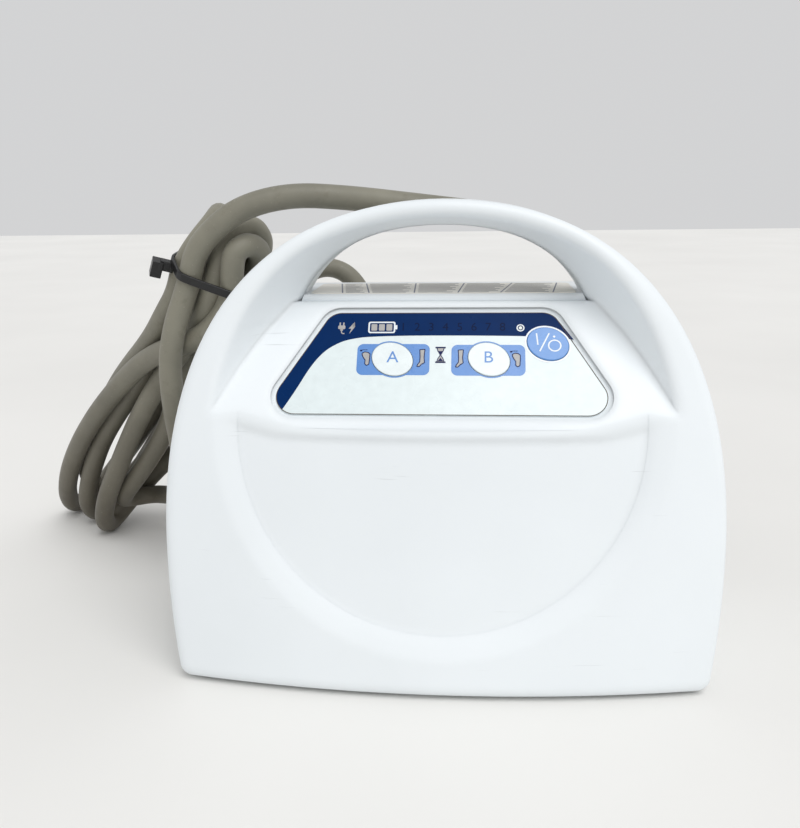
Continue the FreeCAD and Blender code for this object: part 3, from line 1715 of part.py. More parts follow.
def ac_inlet():
    """The mains inlet: a flanged cup with three contact pins."""
    front = s.case_back_y - s.inlet_depth
    body = inlet_box("inlet_body", dim(0), front, s.case_back_y)
    flange = inlet_box("inlet_flange", -s.inlet_flange, s.case_back_y, inlet_back_y)
    cup = inlet_box("inlet_cup", s.inlet_wall, front + s.inlet_floor, inlet_back_y)
    pins = []
    for step, dz in (
        (-1, -s.inlet_pin_height / 2), (0, s.inlet_pin_height / 2), (1, -s.inlet_pin_height / 2)
    ):
        x = s.inlet_x + s.inlet_pin_pitch * step
        low = (
            x - s.inlet_pin_width / 2, front + s.inlet_floor - s.joint_overlap,
            s.inlet_z + dz - s.inlet_pin_height / 2
        )
        high = (
            x + s.inlet_pin_width / 2, front + s.inlet_floor + s.inlet_pin_length,
            s.inlet_z + dz + s.inlet_pin_height / 2,
        )
        pins.append(box_between(f"inlet_pin_{step + 1}", low, high))
    hollow = cut("inlet_hollow", fuse("inlet_blank", body, flange), cup)
    return finish_node(fuse("ac_inlet", hollow, *pins), "ac_inlet")


# ---------------------------------------------------------------- bed hooks

hook_bore_radius = s.hook_rod_radius + s.hook_bore_clearance
hook_bracket_radius = hook_bore_radius + s.hook_bracket_wall
hook_bracket_top = s.hook_bracket_bottom + s.hook_bracket_length
hook_arm_z = hook_bracket_top + s.hook_neck + s.hook_bend_radius


def hook_brackets():
    """Two upright bearings on the back of the case, one for each hook."""
    brackets = []
    for side in (-1, 1):
        name = "left" if side < 0 else "right"
        x = side * s.hook_x
        bearing = cylinder(
            f"bearing_{name}", hook_bracket_radius, s.hook_bracket_length,
            x, s.hook_pivot_y, s.hook_bracket_bottom,
        )
        web = box_between(
            f"bearing_web_{name}",
            (x - hook_bracket_radius, s.case_back_y, s.hook_bracket_bottom),
            (x + hook_bracket_radius, s.hook_pivot_y, hook_bracket_top),
        )
        half = s.hook_base_width / 2
        base = block_along_y(
            f"bearing_base_{name}", x - half, s.hook_bracket_bottom - s.hook_base_overhang,
            x + half, hook_bracket_top + s.hook_base_overhang,
            s.case_back_y, s.case_back_y + s.hook_base_thickness, s.hook_base_overhang,
        )
        bore = cylinder(
            f"bearing_bore_{name}", hook_bore_radius, s.hook_bracket_length,
            x, s.hook_pivot_y, s.hook_bracket_bottom,
        )
        brackets.append(cut(f"bracket_{name}", fuse(f"bracket_blank_{name}", bearing, web, base), bore))
    return finish_node(group("hook_brackets", *brackets), "hook_brackets")


def bed_hook(side):
    """A bent rod with a collar above and below its bearing; its tip hangs over a bed's foot board."""
    name = "bed_hook_left" if side < 0 else "bed_hook_right"
    x = (side * s.hook_x).value
    tip_x = x - side * s.hook_reach.value
    y = s.hook_pivot_y.value
    gap = s.hook_collar_gap
    collar = s.hook_collar_thickness
    foot = s.hook_bracket_bottom - gap - collar
    arm_z = hook_arm_z.value
    points = [
        Vector(x, y, foot.value), Vector(x, y, arm_z),
        Vector(tip_x, y, arm_z), Vector(tip_x, y, arm_z - s.hook_drop.value),
    ]
    rod = feature(
        name + "_rod",
        sweep_round(rounded_path(points, [s.hook_bend_radius.value] * 2), s.hook_rod_radius.value)
    )
    low = cylinder(
        name + "_low_collar", s.hook_collar_radius, collar, side * s.hook_x, s.hook_pivot_y, foot
    )
    high = cylinder(
        name + "_high_collar", s.hook_collar_radius, collar,
        side * s.hook_x, s.hook_pivot_y, hook_bracket_top + gap
    )
    return finish_node(fuse(name, rod, low, high), name)


def hook_sleeve(side):
    """The rubber sleeve on a hook's tip."""
    name = "hook_sleeve_left" if side < 0 else "hook_sleeve_right"
    x = side * (s.hook_x - s.hook_reach)
    bottom = hook_arm_z - s.hook_drop
    outer = cylinder(
        name + "_outer", s.hook_sleeve_radius, s.hook_sleeve_length, x, s.hook_pivot_y, bottom
    )
    inner = cylinder(
        name + "_inner", s.hook_rod_radius, s.hook_sleeve_length, x, s.hook_pivot_y, bottom
    )
    return finish_node(cut(name, outer, inner), name)


# ---------------------------------------------------------------- mains cord

connector_growth = s.connector_grip_margin - s.inlet_wall - s.connector_clearance
connector_half_height = s.inlet_height / 2 + connector_growth
boot_y = inlet_back_y + s.connector_grip_length / 2
boot_top = s.inlet_z + connector_half_height + s.boot_length
plug_z = s.plug_stand + s.plug_height / 2


def cord_connector():
    """The cord's socket in the inlet: nose, angled grip and a tapered boot that points up."""
    front = s.case_back_y - s.inlet_depth + s.inlet_floor + s.connector_clearance
    nose = inlet_box("connector_nose", s.inlet_wall + s.connector_clearance, front, inlet_back_y)
    half = s.inlet_width / 2 + connector_growth
    grip = block_along_y(
        "connector_grip",
        s.inlet_x - half, s.inlet_z - connector_half_height,
        s.inlet_x + half, s.inlet_z + connector_half_height,
        inlet_back_y, inlet_back_y + s.connector_grip_length, s.connector_edge_radius,
    )
    boot = tapered_boot("connector_boot", s.boot_radius)
    place(boot, s.inlet_x, boot_y, s.inlet_z + connector_half_height)
    slots = []
    grown = s.connector_clearance
    for step, dz in (
        (-1, -s.inlet_pin_height / 2), (0, s.inlet_pin_height / 2), (1, -s.inlet_pin_height / 2)
    ):
        x = s.inlet_x + s.inlet_pin_pitch * step
        z = s.inlet_z + dz
        slots.append(box_between(
            f"connector_slot_{step + 1}",
            (x - s.inlet_pin_width / 2 - grown, front, z - s.inlet_pin_height / 2 - grown),
            (
                x + s.inlet_pin_width / 2 + grown, front + s.inlet_pin_length,
                z + s.inlet_pin_height / 2 + grown
            ),
        ))
    return finish_node(
        cut("cord_connector", fuse("connector_blank", nose, grip, boot), *slots), "cord_connector"
    )


def tapered_boot(name, base_radius):
    """A strain relief along +Z from z = 0, tapering to the cord."""
    tip = s.cord_radius + s.boot_tip_clearance
    return revolved(name, [(0, 0), (base_radius, 0), (tip, s.boot_length), (0, s.boot_length)])


CORD_LEAD_POINTS = [
    (24, 55, 102), (24, 61.5, 114), (24.3, 75, 122), (27, 96, 123), (42, 112.5, 121.5),
    (64, 113.5, 121.5), (80, 98, 122.5), (80.5, 77, 126), (76, 57, 133), (64, 39, 143),
    (44, 30, 153.5), (20, 27.5, 161.5), (-8, 25.5, 166.2), (-38, 22, 170), (-60, 18.5, 171.3),
    (-79, 15, 166.5), (-92, 13.6, 153),
]
CORD_TAIL_POINTS = [
    (-162.7, 101.1, 21.7), (-150.4, 99.1, 33.9), (-136.9, 97, 46.2), (-123.1, 96.5, 57.9),
    (-109.1, 97.7, 69.3), (-97, 101, 83), (-87, 106, 101), (-78.5, 111, 120), (-69, 114.5, 131.8),
    (-57, 118, 135.3), (-45.5, 120, 129.5), (-38.5, 119.5, 114), (-29, 115, 92), (-19, 108, 71),
    (-9, 102, 50), (-1, 99.5, 28), (-10, 102, 11), (-30, 107.5, 7), (-49, 114, 11),
]


def cord_tube(name, points):
    """A round cord through chosen points, with arcs as large as its runs allow."""
    vectors = [Vector(*point) for point in points]
    radii = []
    for before, corner, after in zip(vectors, vectors[1:], vectors[2:]):
        run = min((corner - before).Length, (after - corner).Length)
        half_turn = (corner - before).getAngle(after - corner) / 2
        radii.append(CORD_ARC_SHARE * run / math.tan(half_turn))
    print(name, "radii", [round(radius) for radius in radii])
    path = rounded_path(vectors, radii)
    radius = s.cord_radius.value
    solid = sweep_round(path, radius)
    share = solid.Volume / (math.pi * radius * radius * path.Length)
    print(f"{name} length {path.Length:.0f} mm, volume {share:.4f} of section times length")
    return finish_node(feature(name, solid), name)


def power_cord_lead():
    start = (s.inlet_x.value, boot_y.value, boot_top.value)
    return cord_tube("power_cord_lead", [start] + CORD_LEAD_POINTS)


def power_cord_tail():
    end = (s.plug_x.value, s.plug_y.value, plug_z.value)
    return cord_tube("power_cord_tail", CORD_TAIL_POINTS + [end])


HANK_FAN_ANGLE = 143
# height, x, y, half length along the fan of turns, half width across it
HANK_SECTIONS = [
    (
        0.3, -190.5, 104, 24, 10
    ), (5, -189, 103.5, 29, 16), (12, -185, 101, 33, 19), (20, -173, 92, 43, 21),
    (30, -160, 82, 47, 22), (
        40, -153.5, 76.5, 49, 23
    ), (52, -146.5, 70.5, 49, 23), (65, -139.5, 64.5, 47, 23),
    (80, -131.5, 58, 42, 23), (100, -120, 48, 31, 23), (120, -107, 37, 26, 22), (
        131, -98.5, 31.5, 21, 20
    ),
    (
        148, -91, 31.5, 22, 22
    ), (156, -89, 32, 23, 21), (162, -88.5, 32, 21, 18), (166, -91.5, 34, 14, 14),
    (168.8, -94, 36, 5, 8),
]


def hank_section(z, x, y, half_length, half_width):
    """A level ellipse across the hank, with its long axis along the fan of turns."""
    turn = Rotation(Z_AXIS, HANK_FAN_ANGLE)
    if half_length <= half_width:
        curve = Part.Circle(Vector(0, 0, 0), Z_AXIS, half_length)
    else:
        curve = Part.Ellipse(Vector(0, 0, 0), half_length, half_width)
    wire = Part.Wire(curve.toShape())
    wire.Placement = Placement(Vector(x, y, z), turn)
    return wire


def cord_hank():
    """The outer shape of the tied turns of cord: wide below, drawn in at the tie, folded above it."""
    bottom = s.tie_bottom.value
    top = bottom + s.tie_width.value
    x, y, radius = s.tie_x.value, s.tie_y.value, s.tie_bundle_radius.value
    margin = s.tie_margin.value
    tied = [(z, x, y, radius, radius) for z in (bottom - margin, top + margin)]
    sections = sorted(HANK_SECTIONS + tied)
    shape = Part.makeLoft([hank_section(*section) for section in sections], True, True)
    return finish_node(feature("cord_hank", shape), "cord_hank")


def cord_tie():
    """The cable tie round the hank, with its head."""
    inner = s.tie_bundle_radius + s.tie_gap
    outer = inner + s.tie_thickness
    band = cylinder("tie_band", outer, s.tie_width, s.tie_x, s.tie_y, s.tie_bottom)
    head = box_between(
        "tie_head",
        (s.tie_x - outer - s.tie_head_length, s.tie_y - s.tie_head_width, s.tie_bottom),
        (s.tie_x - inner, s.tie_y, s.tie_bottom + s.tie_width),
    )
    hole = cylinder("tie_hole", inner, s.tie_width, s.tie_x, s.tie_y, s.tie_bottom)
    return finish_node(cut("cord_tie", fuse("tie_blank", band, head), hole), "cord_tie")


def mains_plug():
    """The plug at the cord's free end, lying on its side behind the case."""
    tall = s.plug_height / 2
    wide = s.plug_width / 2
    front = s.plug_x - s.boot_length - s.plug_length
    body = new_body("plug_body")
    sketch = new_sketch(body, "YZ_Plane", front)
    draw_rectangle(sketch, s.plug_y - wide, plug_z - tall, s.plug_y + wide, plug_z + tall)
    pad(body, sketch, s.plug_length)
    round_edges(body, edge_along(X_AXIS), s.plug_edge_radius)
    boot = tapered_boot("plug_boot", s.plug_boot_radius)
    place(boot, front + s.plug_length, s.plug_y, plug_z, Y_AXIS, 90)
    roots = blade_solids("plug_slot", front, s.blade_root)
    return finish_node(cut("mains_plug", fuse("plug_blank", body, boot), *roots), "mains_plug")


def blade_solids(name, front, root):
    """Two flat blades and the round ground pin, to the left of the plug's face and into it by root."""
    flats = []
    for side in (-1, 1):
        y = s.plug_y + side * s.blade_spacing / 2
        low = (
            front - s.blade_length, y - s.blade_thickness / 2, plug_z + s.blade_rise - s.blade_width / 2
        )
        high = (front + root, y + s.blade_thickness / 2, plug_z + s.blade_rise + s.blade_width / 2)
        flats.append(box_between(f"{name}_{len(flats)}", low, high))
    pin = along_x(
        f"{name}_ground", s.ground_pin_radius, s.ground_pin_length + root,
        front - s.ground_pin_length, s.plug_y, plug_z - s.ground_pin_drop,
    )
    return [*flats, pin]


def plug_blades():
    front = s.plug_x - s.boot_length - s.plug_length
    return finish_node(
        group("plug_blades", *blade_solids("plug_blade", front, s.blade_root)), "plug_blades"
    )


# ---------------------------------------------------------------- build and write

def build_nodes():
    """Build every sub-part in the order of assembly."""
    front_shell()
    rear_case()
    rubber_feet()
    case_screws()
    top_label()
    control_overlay()
    for name in KEYS:
        key(name)
    status_light()
    display_board()
    key_switches()
    display_digits()
    chassis_plate()
    chassis_screws()
    main_board()
    board_standoffs()
    board_components()
    power_supply()
    battery_pack()
    battery_door()
    speaker()
    fan_frame()
    fan_rotor()
    compressor_motor()
    compressor_shaft()
    pump_head()
    pump_mounts()
    valve_manifold()
    valve_coils()
    valve_plungers()
    air_tubes()
    for name, x in port_centres().items():
        tube_port(name, x)
    ac_inlet()
    hook_brackets()
    for side in (-1, 1):
        bed_hook(side)
        hook_sleeve(side)
    cord_connector()
    power_cord_lead()
    cord_hank()
    cord_tie()
    power_cord_tail()
    mains_plug()
    plug_blades()


def check_document():
    """Stop if any object failed or any sub-part is empty or invalid."""
    doc.recompute()
    failed = [obj.Name for obj in doc.Objects if {"Invalid", "Error"} & set(obj.State)]
    if failed:
        raise RuntimeError("failed objects: " + ", ".join(failed))
    for obj in NODES:
        if obj.Shape.isNull() or not obj.Shape.isValid():
            raise RuntimeError(f"{obj.Label} has no valid shape")


def write_parts():
    os.makedirs("parts", exist_ok=True)
    for obj in NODES:
        obj.Shape.exportStep(f"parts/{obj.Label}.step")
    print(f"{len(NODES)} sub-parts written")


build_nodes()
check_document()
write_parts()
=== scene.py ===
"""Looks of a bedside compression therapy pump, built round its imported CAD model."""

import json
import math

import bmesh
import bpy
from mathutils import Matrix, Vector
from mathutils.geometry import delaunay_2d_cdt


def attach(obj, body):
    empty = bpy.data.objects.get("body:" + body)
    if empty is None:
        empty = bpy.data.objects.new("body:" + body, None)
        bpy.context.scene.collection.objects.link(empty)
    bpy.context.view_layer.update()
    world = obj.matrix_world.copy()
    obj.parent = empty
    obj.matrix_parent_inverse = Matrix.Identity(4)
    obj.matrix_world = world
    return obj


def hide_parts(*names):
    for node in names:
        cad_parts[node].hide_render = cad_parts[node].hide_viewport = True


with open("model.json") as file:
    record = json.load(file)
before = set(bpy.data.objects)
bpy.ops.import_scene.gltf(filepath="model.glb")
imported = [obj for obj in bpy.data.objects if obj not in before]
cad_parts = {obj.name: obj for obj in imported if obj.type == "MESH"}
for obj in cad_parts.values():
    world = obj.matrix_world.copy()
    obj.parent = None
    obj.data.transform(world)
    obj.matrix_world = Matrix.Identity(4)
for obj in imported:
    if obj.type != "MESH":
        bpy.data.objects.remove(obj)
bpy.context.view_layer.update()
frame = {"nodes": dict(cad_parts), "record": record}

scene = bpy.context.scene
MM = 0.001
SQUARE = ((-1, -1), (1, -1), (1, 1), (-1, 1))


def add_object(name, data):
    """A new object in the scene."""
    thing = bpy.data.objects.new(name, data)
    scene.collection.objects.link(thing)
    return thing


def curve_mesh(name, curve):
    """The mesh that a curve or a text makes, without an object that stays."""
    holder = add_object(name, curve)
    bpy.context.view_layer.update()
    mesh = bpy.data.meshes.new_from_object(holder.evaluated_get(bpy.context.evaluated_depsgraph_get()))
    bpy.data.objects.remove(holder)
    return mesh


# ---------------------------------------------------------------- camera

CAMERA_PLACE = Vector((0.00979, -0.31717, 0.17446))
CAMERA_YAW = math.radians(-4.714)
CAMERA_PITCH = math.radians(15.019)
CAMERA_ROLL = math.radians(-0.807)
SENSOR_WIDTH = 36
LENS = 38.466
CLIP_START = 0.01


def camera_axes():
    """The camera's right, up and forward directions: turned, tipped down and rolled."""
    level = Vector((math.cos(CAMERA_YAW), -math.sin(CAMERA_YAW), 0))
    reach = math.cos(CAMERA_PITCH)
    forward = Vector((math.sin(CAMERA_YAW) * reach, math.cos(CAMERA_YAW) * reach, -math.sin(CAMERA_PITCH)))
    upright = level.cross(forward)
    right = level * math.cos(CAMERA_ROLL) + upright * math.sin(CAMERA_ROLL)
    up = upright * math.cos(CAMERA_ROLL) - level * math.sin(CAMERA_ROLL)
    return right, up, forward


def add_camera():
    """The viewpoint, with the lens and the sensor in millimetres."""
    data = bpy.data.cameras.new("camera")
    data.sensor_fit = "HORIZONTAL"
    data.sensor_width = SENSOR_WIDTH
    data.lens = LENS
    data.clip_start = CLIP_START
    camera = add_object("camera", data)
    right, up, forward = camera_axes()
    turn = Matrix((right, up, -forward)).transposed()
    camera.matrix_world = Matrix.Translation(CAMERA_PLACE) @ turn.to_4x4()
    scene.camera = camera


# ---------------------------------------------------------------- node helpers

class Nodes:
    """A material's node tree, with short calls for the nodes used here."""

    def __init__(self, name):
        self.material = bpy.data.materials.new(name)
        self.material.use_nodes = True
        self.tree = self.material.node_tree
        self.shader = next(n for n in self.tree.nodes if n.type == "BSDF_PRINCIPLED")
        self.place = self.add("ShaderNodeTexCoord").outputs["Object"]

    def add(self, kind, **values):
        node = self.tree.nodes.new(kind)
        for key, value in values.items():
            setattr(node, key, value)
        return node

    def link(self, source, target):
        self.tree.links.new(source, target)

    def scaled(self, scale, lean=0.0):
        """The object's place, leant about Y and stretched by three numbers."""
        node = self.add("ShaderNodeMapping")
        node.inputs["Rotation"].default_value = (0.0, lean, 0.0)
        node.inputs["Scale"].default_value = scale
        self.link(self.place, node.inputs["Vector"])
        return node.outputs["Vector"]

    def noise(self, scale, detail=4, rough=0.55, place=None):
        node = self.add("ShaderNodeTexNoise")
        node.inputs["Scale"].default_value = scale
        node.inputs["Detail"].default_value = detail
        node.inputs["Roughness"].default_value = rough
        self.link(place or self.place, node.inputs["Vector"])
        return node.outputs["Fac"]

    def band(self, value, low, high, at_low=0.0, at_high=1.0):
        """value from low..high, spread to at_low..at_high."""
        node = self.add("ShaderNodeMapRange")
        node.inputs["From Min"].default_value = low
        node.inputs["From Max"].default_value = high
        node.inputs["To Min"].default_value = at_low
        node.inputs["To Max"].default_value = at_high
        self.link(value, node.inputs["Value"])
        return node.outputs["Result"]

    def maths(self, operation, first, second):
        node = self.add("ShaderNodeMath", operation=operation)
        for socket, value in zip(node.inputs, (first, second)):
            if isinstance(value, (int, float)):
                socket.default_value = value
            else:
                self.link(value, socket)
        return node.outputs[0]

    def mix(self, share, first, second):
        """A colour between two colours; each is four numbers or a socket."""
        node = self.add("ShaderNodeMix", data_type="RGBA")
        colours = [socket for socket in node.inputs if socket.type == "RGBA"]
        for socket, value in zip(colours, (first, second)):
            if isinstance(value, tuple):
                socket.default_value = value
            else:
                self.link(value, socket)
        self.link(share, node.inputs[0])
        return next(socket for socket in node.outputs if socket.type == "RGBA")

    def bump(self, height, strength, distance, onto=None):
        node = self.add("ShaderNodeBump")
        node.inputs["Strength"].default_value = strength
        node.inputs["Distance"].default_value = distance
        self.link(height, node.inputs["Height"])
        if onto is not None:
            self.link(onto, node.inputs["Normal"])
        return node.outputs["Normal"]

    def finish(self, colour=None, rough=None, normal=None, **fixed):
        """The material, from sockets or plain values; fixed values go to the shader's named inputs."""
        for name, socket in (("Base Color", colour), ("Roughness", rough), ("Normal", normal)):
            if isinstance(socket, (tuple, float, int)):
                self.shader.inputs[name].default_value = socket
            elif socket is not None:
                self.link(socket, self.shader.inputs[name])
        for name, value in fixed.items():
            self.shader.inputs[name.replace("_", " ")].default_value = value
        return self.material


def srgb(red, green, blue):
    """A colour of three 0..255 screen values as linear numbers."""
    def linear(level):
        level /= 255
        return level / 12.92 if level <= 0.04045 else ((level + 0.055) / 1.055) ** 2.4
    return (linear(red), linear(green), linear(blue), 1.0)


def shade(colour, factor):
    """A colour made lighter or darker."""
    return tuple(min(1.0, c * factor) for c in colour[:3]) + (1.0,)


# ---------------------------------------------------------------- materials

CORNER_RADIUS = 0.0045


def moulded(name, colour, rough=0.42, grain=1600, depth=0.00003, spread=0.05, coat=0.0):
    """Moulded plastic: a fine satin texture, slow drifts of tone and faint rub marks."""
    n = Nodes(name)
    drift = n.noise(14, 3)
    speck = n.noise(420, 2)
    share = n.maths("ADD", n.maths("MULTIPLY", drift, 0.75), n.maths("MULTIPLY", speck, 0.25))
    tone = n.mix(n.band(share, 0.35, 0.65), shade(colour, 1 - spread), shade(colour, 1 + spread))
    rub = n.noise(60, 5, 0.7, n.scaled((1, 1, 5)))
    shine = n.band(rub, 0.3, 0.7, rough - 0.07, rough + 0.07)
    relief = n.bump(n.noise(grain, 3), 0.25, depth)
    return n.finish(tone, shine, relief, Coat_Weight=coat, Coat_Roughness=0.2)


def scratches(n, stretch, lean, thin, patches, spread):
    """Hair scratches: thin lines in one direction, broken up and only here and there."""
    line = n.band(n.noise(1, 2, 0.5, n.scaled(stretch, lean)), *thin)
    where = n.band(n.noise(patches, 4), *spread)
    return n.maths("MULTIPLY", line, where)


def case_plastic():
    """The off-white case: satin grain, grey scuffs, dust, and creases that catch light softly."""
    n = Nodes("case_plastic")
    base = srgb(235, 240, 243)
    tone = n.mix(n.band(n.noise(9, 3), 0.35, 0.65), shade(base, 0.97), shade(base, 1.02))
    level = scratches(n, (38, 30, 1500), 0.0, (0.70, 0.76), 26, (0.56, 0.66))
    leant = scratches(n, (24, 30, 1300), 0.9, (0.73, 0.78), 17, (0.6, 0.7))
    marks = n.maths("MAXIMUM", level, leant)
    scuffed = n.mix(n.maths("MULTIPLY", marks, 0.35), tone, srgb(150, 152, 156))
    dust = n.band(n.noise(240, 6, 0.75), 0.70, 0.80)
    dusty = n.mix(n.maths("MULTIPLY", dust, 0.12), scuffed, srgb(150, 140, 125))
    shine = n.band(n.noise(45, 4), 0.3, 0.7, 0.36, 0.48)
    rounded_edges = n.add("ShaderNodeBevel", samples=8)
    rounded_edges.inputs["Radius"].default_value = CORNER_RADIUS
    grain = n.bump(n.noise(1500, 2), 0.12, 0.00003, rounded_edges.outputs["Normal"])
    relief = n.bump(marks, 0.15, 0.00004, grain)
    return n.finish(dusty, shine, relief)


def printed(name, colour, rough, coat=0.2, specular=0.5):
    """Ink under a clear film: an even colour with the faintest mottle and a smooth gloss."""
    n = Nodes(name)
    tone = n.mix(n.band(n.noise(300, 3), 0.3, 0.7), shade(colour, 0.97), shade(colour, 1.03))
    shine = n.band(n.noise(70, 4), 0.3, 0.7, rough - 0.05, rough + 0.06)
    relief = n.bump(n.noise(900, 2), 0.06, 0.00002)
    return n.finish(tone, shine, relief, Coat_Weight=coat, Coat_Roughness=0.15, Specular_IOR_Level=specular)


def cord_rubber():
    """Grey-brown rubber jacket: matte and slightly dusty, with a mottle of grime."""
    n = Nodes("cord_rubber")
    base = srgb(132, 129, 115)
    tone = n.mix(n.band(n.noise(30, 4), 0.35, 0.65), shade(base, 0.82), shade(base, 1.1))
    # the lower loops are darker and browner towards the bottom: partly dirt from lying on floors, partly
    # painted shade
    height = n.add("ShaderNodeSeparateXYZ")
    n.link(n.place, height.inputs["Vector"])
    tone = n.mix(n.band(height.outputs["Z"], 0.01, 0.12, 0.7, 0.0), tone, srgb(66, 57, 42))
    grime = n.band(n.noise(150, 6, 0.7), 0.56, 0.74)
    dirty = n.mix(n.maths("MULTIPLY", grime, 0.4), tone, srgb(98, 90, 72))
    speck = n.band(n.noise(900, 3), 0.68, 0.74)
    dusty = n.mix(n.maths("MULTIPLY", speck, 0.3), dirty, srgb(185, 180, 165))
    shine = n.band(n.noise(90, 4), 0.3, 0.7, 0.48, 0.62)
    relief = n.bump(n.noise(520, 4), 0.25, 0.00008)
    return n.finish(dusty, shine, relief, Sheen_Weight=0.08)


def metal(name, colour, rough=0.3, stretch=(40, 900, 900)):
    """Metal with fine lengthwise brush or draw marks."""
    n = Nodes(name)
    line = n.noise(1, 3, 0.6, n.scaled(stretch))
    tone = n.mix(n.band(line, 0.3, 0.7), shade(colour, 0.86), shade(colour, 1.1))
    shine = n.band(n.noise(120, 4), 0.3, 0.7, rough - 0.08, rough + 0.1)
    relief = n.bump(line, 0.2, 0.00002)
    return n.finish(tone, shine, relief, Metallic=1.0)


def laminate():
    """Green circuit board with faint copper tracks under the resist."""
    n = Nodes("laminate")
    brick = n.add("ShaderNodeTexBrick")
    brick.inputs["Scale"].default_value = 160
    brick.inputs["Mortar Size"].default_value = 0.03
    n.link(n.place, brick.inputs["Vector"])
    tone = n.mix(brick.outputs["Fac"], srgb(22, 92, 48), srgb(44, 128, 70))
    relief = n.bump(brick.outputs["Fac"], 0.3, 0.00003)
    return n.finish(tone, n.band(n.noise(80), 0.3, 0.7, 0.25, 0.4), relief, Coat_Weight=0.4)


def label_film():
    """The pale grey printed film on the case top."""
    n = Nodes("label_film")
    base = srgb(228, 225, 217)
    tone = n.mix(n.band(n.noise(60, 4), 0.35, 0.65), shade(base, 0.93), shade(base, 1.03))
    relief = n.bump(n.noise(700, 3), 0.15, 0.00003)
    return n.finish(tone, n.band(n.noise(50), 0.3, 0.7, 0.35, 0.5), relief)


def make_materials():
    """One material for each slot of the record."""
    rubber = dict(rough=0.72, grain=900, depth=0.00006, spread=0.12)
    return {
        "case": case_plastic(),
        "feet": moulded("foot_rubber", srgb(52, 52, 52), **rubber),
        "screws": metal("screw_steel", srgb(176, 176, 174), 0.32),
        "label": label_film(),
        "overlay": printed("overlay_white", srgb(221, 231, 232), 0.28),
        "keys": printed("key_white", srgb(228, 236, 237), 0.26),
        "power_key": printed("key_blue", srgb(92, 144, 209), 0.26),
        "light_pipe": moulded("light_pipe", srgb(214, 222, 214), 0.12, coat=0.6),
        "circuit_board": laminate(),
        "switches": moulded("switch_black", srgb(44, 44, 46), 0.4),
        "digit_lamps": moulded("digit_lamp", srgb(120, 30, 30), 0.25, coat=0.5),
        "chassis": metal("chassis_sheet", srgb(196, 198, 200), 0.4),
        "brass_parts": metal("brass", srgb(202, 172, 104), 0.28),
        "components": moulded("component_black", srgb(40, 40, 42), 0.5),
        "supply": metal("supply_can", srgb(186, 188, 188), 0.38),
        "battery": moulded("battery_wrap", srgb(58, 80, 132), 0.3, coat=0.4),
        "speaker": moulded("speaker_cone", srgb(48, 47, 46), 0.7),
        "fan": moulded("fan_black", srgb(46, 46, 48), 0.42),
        "motor": metal("motor_can", srgb(148, 150, 152), 0.36, (900, 900, 40)),
        "shaft": metal("ground_steel", srgb(190, 190, 192), 0.22),
        "pump": metal("die_casting", srgb(170, 171, 172), 0.5, (500, 500, 500)),
        "manifold": moulded("manifold_nylon", srgb(224, 222, 210), 0.45),
        "coils": moulded("coil_wrap", srgb(70, 62, 52), 0.4),
        "tubes": moulded("tube_silicone", srgb(226, 226, 220), 0.3, coat=0.3),
        "ports": moulded("port_blue", srgb(34, 66, 128), 0.38),
        "black_plastic": moulded("nylon_black", srgb(20, 20, 21), 0.36, grain=1100, spread=0.1),
        "hook_plastic": moulded("hook_grey", srgb(206, 208, 208), 0.42),
        "hook_steel": metal("hook_steel", srgb(206, 207, 210), 0.2),
        "cord": cord_rubber(),
    }


def dress_nodes(materials):
    """Give every CAD node the material of its slot."""
    slots = {part["node"]: part["material_slot"] for part in frame["record"]["subparts"]}
    for name, node in frame["nodes"].items():
        node.data.materials.clear()
        node.data.materials.append(materials[slots[name]])


# ---------------------------------------------------------------- flat print

INK = 0.03


def add_print(name, mesh, material, body):
    """A printed mesh as a piece that rides on its body."""
    mesh.materials.clear()
    mesh.materials.append(material)
    piece = add_object(name, mesh)
    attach(piece, body)


def flat_piece(name, loops, up, material, body):
    """Flat shapes as one piece: each loop of points is filled and shows its face to up."""
    mesh = bpy.data.meshes.new(name)
    build = bmesh.new()
    for loop in loops:
        build.faces.new([build.verts.new(point) for point in loop])
    bmesh.ops.triangulate(build, faces=build.faces[:])
    bmesh.ops.recalc_face_normals(build, faces=build.faces[:])
    for face in build.faces:
        if face.normal.dot(up) < 0:
            face.normal_flip()
    build.to_mesh(mesh)
    build.free()
    add_print(name, mesh, material, body)


def between(first, second, share):
    """The value that lies a share of the way from the first to the second."""
    return first + (second - first) * share


def shifted(outline, dx, dy):
    """The same outline in another place."""
    return [(x + dx, y + dy) for x, y in outline]


def ring(outer, inner):
    """The band between two loops of the same number of points, as four-sided outlines."""
    count = len(outer)
    return [
        [outer[i], outer[(i + 1) % count], inner[(i + 1) % count], inner[i]]
        for i in range(count)
    ]


def cut_out(outline, hole):
    """The triangles of an outline that lie outside a hole."""
    corners = [Vector(point) for point in outline + hole]
    first = list(range(len(outline)))
    second = list(range(len(outline), len(corners)))
    points, _, faces, _, _, sources = delaunay_2d_cdt(corners, [], [first, second], 1, 1e-6)
    return [[tuple(points[i]) for i in face] for face, source in zip(faces, sources) if source == [0]]


def stroke(points, width, closed=False):
    """A line of even width through points: one four-sided outline for each run."""
    shapes = []
    pairs = list(zip(points, points[1:]))
    if closed:
        pairs.append((points[-1], points[0]))
    for (x0, y0), (x1, y1) in pairs:
        length = math.dist((x0, y0), (x1, y1)) or 1
        nx = -(y1 - y0) / length * width / 2
        ny = (x1 - x0) / length * width / 2
        shapes.append([(x0 + nx, y0 + ny), (x1 + nx, y1 + ny), (x1 - nx, y1 - ny), (x0 - nx, y0 - ny)])
    return shapes


